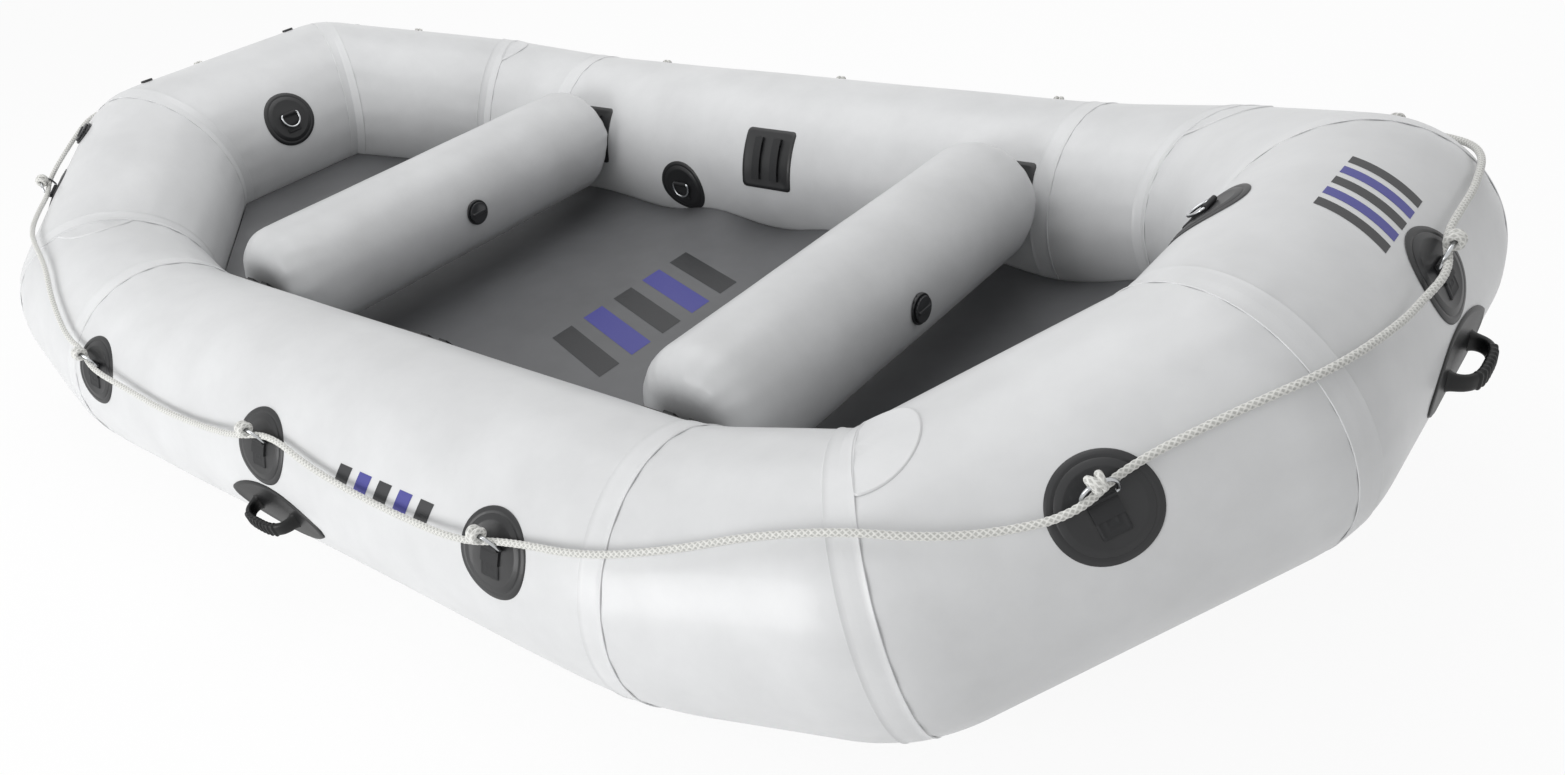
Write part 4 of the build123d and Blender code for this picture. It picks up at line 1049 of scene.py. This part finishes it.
class RAFT_OT_line(bpy.types.Operator):
    """Runs the grab line round the hull through its rings, and ties its hitches"""

    bl_idname = "raft.line"
    bl_label = "Grab line"

    def execute(self, context):
        sizes = context.scene.raft_line
        radius = sizes.diameter / 2
        seats = rope_ring_seats()
        points = self.route(seats)
        path = self.smooth(points)
        obj = self.braid("grab_line_braided", path, radius, sizes.strands)
        hitches = self.hitches(seats, radius)
        finish_piece(obj, "braided_line", "grab_line")
        finish_piece(hitches, "braided_line", "line_hitches")
        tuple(path[0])
        return {"FINISHED"}

    def crossing(self, seat, towards):
        """The middle of a ring's eye, and the slant on which the line goes through it."""
        forward = seat.x if seat.x.dot(towards) > 0 else -seat.x
        over = seat.y * sin(RING_STAND) - seat.z * cos(RING_STAND)
        lift = seat.z * sin(RING_STAND) + seat.y * cos(RING_STAND)
        eye = seat.origin + seat.z * RING_LIFT + lift * RING_EYE
        return eye, (forward + over * CROSSING_SLOPE).normalized()

    def through(self, seat, rising=1):
        """The points on either side of a ring's eye."""
        eye, slant = self.crossing(seat, Vector((rising, 0, 0)))
        return [eye - slant * CROSSING_HALF * rising, eye + slant * CROSSING_HALF * rising]

    def one_side(self, side, near_end, near_bend, climb):
        """The line's points along one side of the hull, from the stern to the bow.

        climb is how much of the full rise over the quarter bends it takes on this side.
        """

        lowest = 36

        def up(elevation):
            return lowest + climb * (elevation - lowest)

        def off(seat, stand=LINE_STAND):
            return seat.origin + seat.z * stand

        def bend(corner, fore, elevation):
            return off(bend_seat(corner, fore, side, elevation), BEND_STAND)

        row = [side_seat(x, SIDE_RING, side) for x in RING_ROW]
        route = [off(end_seat(-1, side * 0.145, near_end)), off(end_seat(-1, side * 0.230, near_bend))]
        route += [bend(END_CORNER, -1, 43), off(quarter_seat(-1, side, 0.90, 41))]
        route += self.through(quarter_seat(-1, side, QUARTER_RING_SHARE, QUARTER_RING))
        route += [off(quarter_seat(-1, side, share, up(e))) for share, e in ((0.28, 48), (0.12, 54))]
        route += [bend(QUARTER_CORNER, -1, up(59))]
        route += [off(shoulder_seat(-1, side, share, up(e))) for share, e in ((0.70, 54), (0.40, 45))]
        route += [bend(SHOULDER_CORNER, -1, up(36))]
        route += self.through(row[0], -1)
        route += [off(side_seat(x, e, side)) for x, e in ((-0.560, 25), (-0.405, 23), (-0.250, 24))]
        route += self.through(row[1])
        route += [off(side_seat(x, e, side)) for x, e in ((0.140, 28.5), (0.290, 26), (0.450, 25.5))]
        route += self.through(row[2])
        route += [bend(SHOULDER_CORNER, 1, up(39))]
        route += [off(shoulder_seat(1, side, share, up(e))) for share, e in ((0.40, 46), (0.70, 52))]
        route += [bend(QUARTER_CORNER, 1, up(57))]
        route += [off(quarter_seat(1, side, share, up(e))) for share, e in ((0.12, 51), (0.28, 42))]
        route += self.through(quarter_seat(1, side, QUARTER_RING_SHARE, QUARTER_RING))
        route += [off(quarter_seat(1, side, 0.90, 42)), bend(END_CORNER, 1, 43)]
        route += [off(end_seat(1, side * 0.230, near_bend)), off(end_seat(1, side * 0.145, near_end))]
        return route

    def route(self, seats):
        """All the line's points: from the stern's middle ring round by port and back by starboard."""
        bow_eye, bow_slant = self.crossing(seats[0], Vector((0, 1, 0)))
        stern_eye, stern_slant = self.crossing(seats[1], Vector((0, 1, 0)))
        points = [stern_eye + stern_slant * END_GAP, stern_eye + stern_slant * CROSSING_HALF]
        points += self.one_side(1, 43, 43, 0.15)
        points += [bow_eye + bow_slant * CROSSING_HALF, bow_eye - bow_slant * CROSSING_HALF]
        points += list(reversed(self.one_side(-1, 37, 39, 1.0)))
        points += [stern_eye - stern_slant * CROSSING_HALF, stern_eye - stern_slant * END_GAP]
        return points

    def smooth(self, points):
        """Closely spaced points of the smooth line that the route's points steer."""
        curve = bpy.data.curves.new("line", "CURVE")
        curve.dimensions = "3D"
        spline = curve.splines.new("NURBS")
        spline.points.add(len(points) - 1)
        for knot, point in zip(spline.points, points):
            knot.co = (*point, 1)
        spline.order_u = 3
        spline.use_endpoint_u = True
        spline.resolution_u = 12
        obj = bpy.data.objects.new("line", curve)
        bpy.context.scene.collection.objects.link(obj)
        mesh = bpy.data.meshes.new_from_object(obj.evaluated_get(bpy.context.evaluated_depsgraph_get()))
        path = [v.co.copy() for v in mesh.vertices]
        bpy.data.objects.remove(obj)
        bpy.data.meshes.remove(mesh)
        return path

    def braid(self, name, path, radius, strands):
        """A tube along the path whose surface rises and falls with crossing strands."""
        spots = np.array([tuple(p) for p in path])
        line, _, ahead = evenly(spots, lambda length: int(length / BRAID_STEP))
        rows = len(line) - 1
        side = np.zeros_like(line)
        side[0] = np.cross(ahead[0], (0, 0, 1))
        for i in range(len(line)):
            lean = side[max(i - 1, 0)] - ahead[i] * side[max(i - 1, 0)].dot(ahead[i])
            side[i] = lean / np.linalg.norm(lean)
        over = np.cross(ahead, side)
        spokes = 20

        def place(u, v):
            i = int(v * rows + 0.5)
            angle = u * 2 * pi
            twist = v * LINE_LENGTH / STRAND_TURN * 2 * pi
            one = cos(strands / 2 * (angle + twist))
            two = cos(strands / 2 * (angle - twist))
            swell = radius * (0.87 + 0.21 * max(one, two))
            taper = min(1.0, 0.05 + min(i, rows - i) * 0.5)
            return line[i] + (side[i] * cos(angle) + over[i] * sin(angle)) * swell * taper

        return laid(name, spokes, rows, place)

    def hitches(self, seats, radius):
        """Two turns and a riding strand round the crown of each rope-held ring."""
        pieces = []
        for seat in seats:
            lift = seat.z * sin(RING_STAND) + seat.y * cos(RING_STAND)
            crown = seat.origin + seat.z * RING_LIFT + lift * RING_CROWN
            for shift, tilt, reach in ((-0.0058, 14, 0.0102), (0.0058, -10, 0.0102), (0.0, 38, 0.0112)):
                clear()
                bpy.ops.mesh.primitive_torus_add(
                    major_segments=36,
                    minor_segments=12,
                    major_radius=reach,
                    minor_radius=radius * 0.92,
                )
                obj = bpy.context.object
                # the braid's map: round the line first, then along it in whole quarters of a strand's turn
                along = round(8 * pi * reach / STRAND_TURN) / 4 * STRAND_TURN / LINE_LENGTH
                for corner in obj.data.uv_layers.active.data:
                    corner.uv = (corner.uv.y, corner.uv.x * along)
                turn = Matrix((seat.z, seat.y, seat.x)).transposed()
                lean = Matrix.Rotation(radians(tilt), 3, seat.z)
                obj.data.transform((lean @ turn).to_4x4())
                obj.data.transform(Matrix.Translation(crown + seat.x * shift))
                only(obj)
                bpy.ops.object.mode_set(mode="EDIT")
                bpy.ops.mesh.select_all(action="SELECT")
                bpy.ops.mesh.normals_make_consistent(inside=False)
                bpy.ops.object.mode_set(mode="OBJECT")
                bpy.ops.object.shade_smooth()
                pieces.append(obj)
        return joined("line_hitches_tied", pieces)


class RAFT_OT_stage(bpy.types.Operator):
    """Sets out the pale floor, the studio world and the soft lights"""

    bl_idname = "raft.stage"
    bl_label = "Stage"

    def execute(self, context):
        scene = context.scene
        scene.view_settings.view_transform = "Standard"
        clear()
        bpy.ops.mesh.primitive_plane_add(size=60)
        ground = bpy.context.object
        ground.name = "ground"
        material, tree, shader = finish_of("Pale studio floor", "#F4F4F4", 0.9, specular=0.1)
        glow = node(tree, "ShaderNodeEmission", Strength=1.0)
        share = node(tree, "ShaderNodeMath", [(self.seen(tree), 0)], [(1, 0.92)], operation="MULTIPLY")
        blend = [(share.outputs[0], 0), (shader.outputs[0], 1), (glow.outputs[0], 2)]
        mixed = node(tree, "ShaderNodeMixShader", blend)
        tree.links.new(mixed.outputs[0], tree.nodes["Material Output"].inputs["Surface"])
        ground.data.materials.append(material)
        self.world(scene)
        self.lamp("overhead", (-0.5, 0.6, 4.2), (0, 0, 0.3), 4.5, 78)
        self.lamp("low starboard", (-0.9, -5.7, 1.3), (0.1, 0, 0.4), 3.2, 172)
        return {"FINISHED"}

    def seen(self, tree):
        """1 where the eye, a reflection or a clear piece looks, and 0 where light only bounces."""
        rays = node(tree, "ShaderNodeLightPath")
        straight = [(rays.outputs["Is Camera Ray"], 0), (rays.outputs["Is Glossy Ray"], 1)]
        either = node(tree, "ShaderNodeMath", straight, operation="MAXIMUM")
        through = [(either.outputs[0], 0), (rays.outputs["Is Transmission Ray"], 1)]
        return node(tree, "ShaderNodeMath", through, operation="MAXIMUM").outputs[0]

    def world(self, scene):
        """An even white studio, dimmer for light that bounces than for the eye."""
        world = bpy.data.worlds.new("Studio")
        scene.world = world
        world.use_nodes = True
        tree = world.node_tree
        back = tree.nodes["Background"]
        back.inputs["Color"].default_value = linear("#FFFFFF")
        level = node(tree, "ShaderNodeMapRange", [(self.seen(tree), "Value")], To_Min=0.55, To_Max=1.0)
        tree.links.new(level.outputs["Result"], back.inputs["Strength"])

    def lamp(self, name, place, target, size, power):
        """A round lamp of this width and power in watts, turned to its target."""
        lamp = bpy.data.lights.new(name, "AREA")
        lamp.size, lamp.energy, lamp.shape = size, power, "DISK"
        obj = bpy.data.objects.new(name, lamp)
        bpy.context.scene.collection.objects.link(obj)
        obj.location = place
        obj.rotation_euler = (Vector(target) - Vector(place)).to_track_quat("-Z", "Y").to_euler()


def set_camera():
    """The camera stands off the starboard bow at about eye height and looks down across the raft."""
    place, yaw, pitch, roll = (2.141, -1.911, 1.573), 2.3326, 0.5363, 0.1717
    forward = Vector((cos(pitch) * cos(yaw), cos(pitch) * sin(yaw), -sin(pitch)))
    level = forward.cross(Vector((0, 0, 1))).normalized()
    down = forward.cross(level)
    right = level * cos(roll) + down * sin(roll)
    lower = down * cos(roll) - level * sin(roll)
    camera = bpy.data.cameras.new("camera")
    obj = bpy.data.objects.new("camera", camera)
    bpy.context.scene.collection.objects.link(obj)
    turn = Matrix((right, -lower, -forward)).transposed().to_4x4()
    obj.matrix_world = Matrix.Translation(place) @ turn
    camera.sensor_width, camera.lens = 36, 28.6045
    camera.shift_x, camera.shift_y = 0.026326, -0.001022
    camera.clip_start, camera.clip_end = 0.05, 200
    bpy.context.scene.camera = obj


class RAFT_PT_panel(bpy.types.Panel):
    """Lists the raft's operators and the sizes they use"""

    bl_idname = "RAFT_PT_panel"
    bl_label = "River raft"
    bl_space_type = "VIEW_3D"
    bl_region_type = "UI"
    bl_category = "Raft"

    def draw(self, context):
        layout = self.layout
        for group in (context.scene.raft_hull, context.scene.raft_floor, context.scene.raft_line):
            for key in group.bl_rna.properties.keys():
                if key not in ("rna_type", "name"):
                    layout.prop(group, key)
        for operator in OPERATORS:
            layout.operator(operator.bl_idname)


GROUPS = {"raft_hull": HullSizes, "raft_floor": FloorSizes, "raft_line": LineSizes}
OPERATORS = (
    RAFT_OT_line,
    RAFT_OT_hull,
    RAFT_OT_seams,
    RAFT_OT_thwarts,
    RAFT_OT_floor,
    RAFT_OT_patches,
    RAFT_OT_mounts,
    RAFT_OT_handles,
    RAFT_OT_marks,
    RAFT_OT_fittings,
    RAFT_OT_stage,
)


def register():
    for group in GROUPS.values():
        bpy.utils.register_class(group)
    for operator in OPERATORS:
        bpy.utils.register_class(operator)
    bpy.utils.register_class(RAFT_PT_panel)
    for name, group in GROUPS.items():
        setattr(bpy.types.Scene, name, bpy.props.PointerProperty(type=group))


def unregister():
    for name in GROUPS:
        delattr(bpy.types.Scene, name)
    bpy.utils.unregister_class(RAFT_PT_panel)
    for operator in reversed(OPERATORS):
        bpy.utils.unregister_class(operator)
    for group in reversed(list(GROUPS.values())):
        bpy.utils.unregister_class(group)


def main():
    register()
    set_camera()
    FINISH.update(materials())
    bpy.ops.raft.line()
    bpy.ops.raft.hull()
    bpy.ops.raft.seams()
    bpy.ops.raft.thwarts()
    bpy.ops.raft.floor()
    bpy.ops.raft.patches()
    bpy.ops.raft.mounts()
    bpy.ops.raft.handles()
    bpy.ops.raft.marks()
    bpy.ops.raft.fittings()
    bpy.ops.raft.stage()


if __name__ == "__main__":
    main()
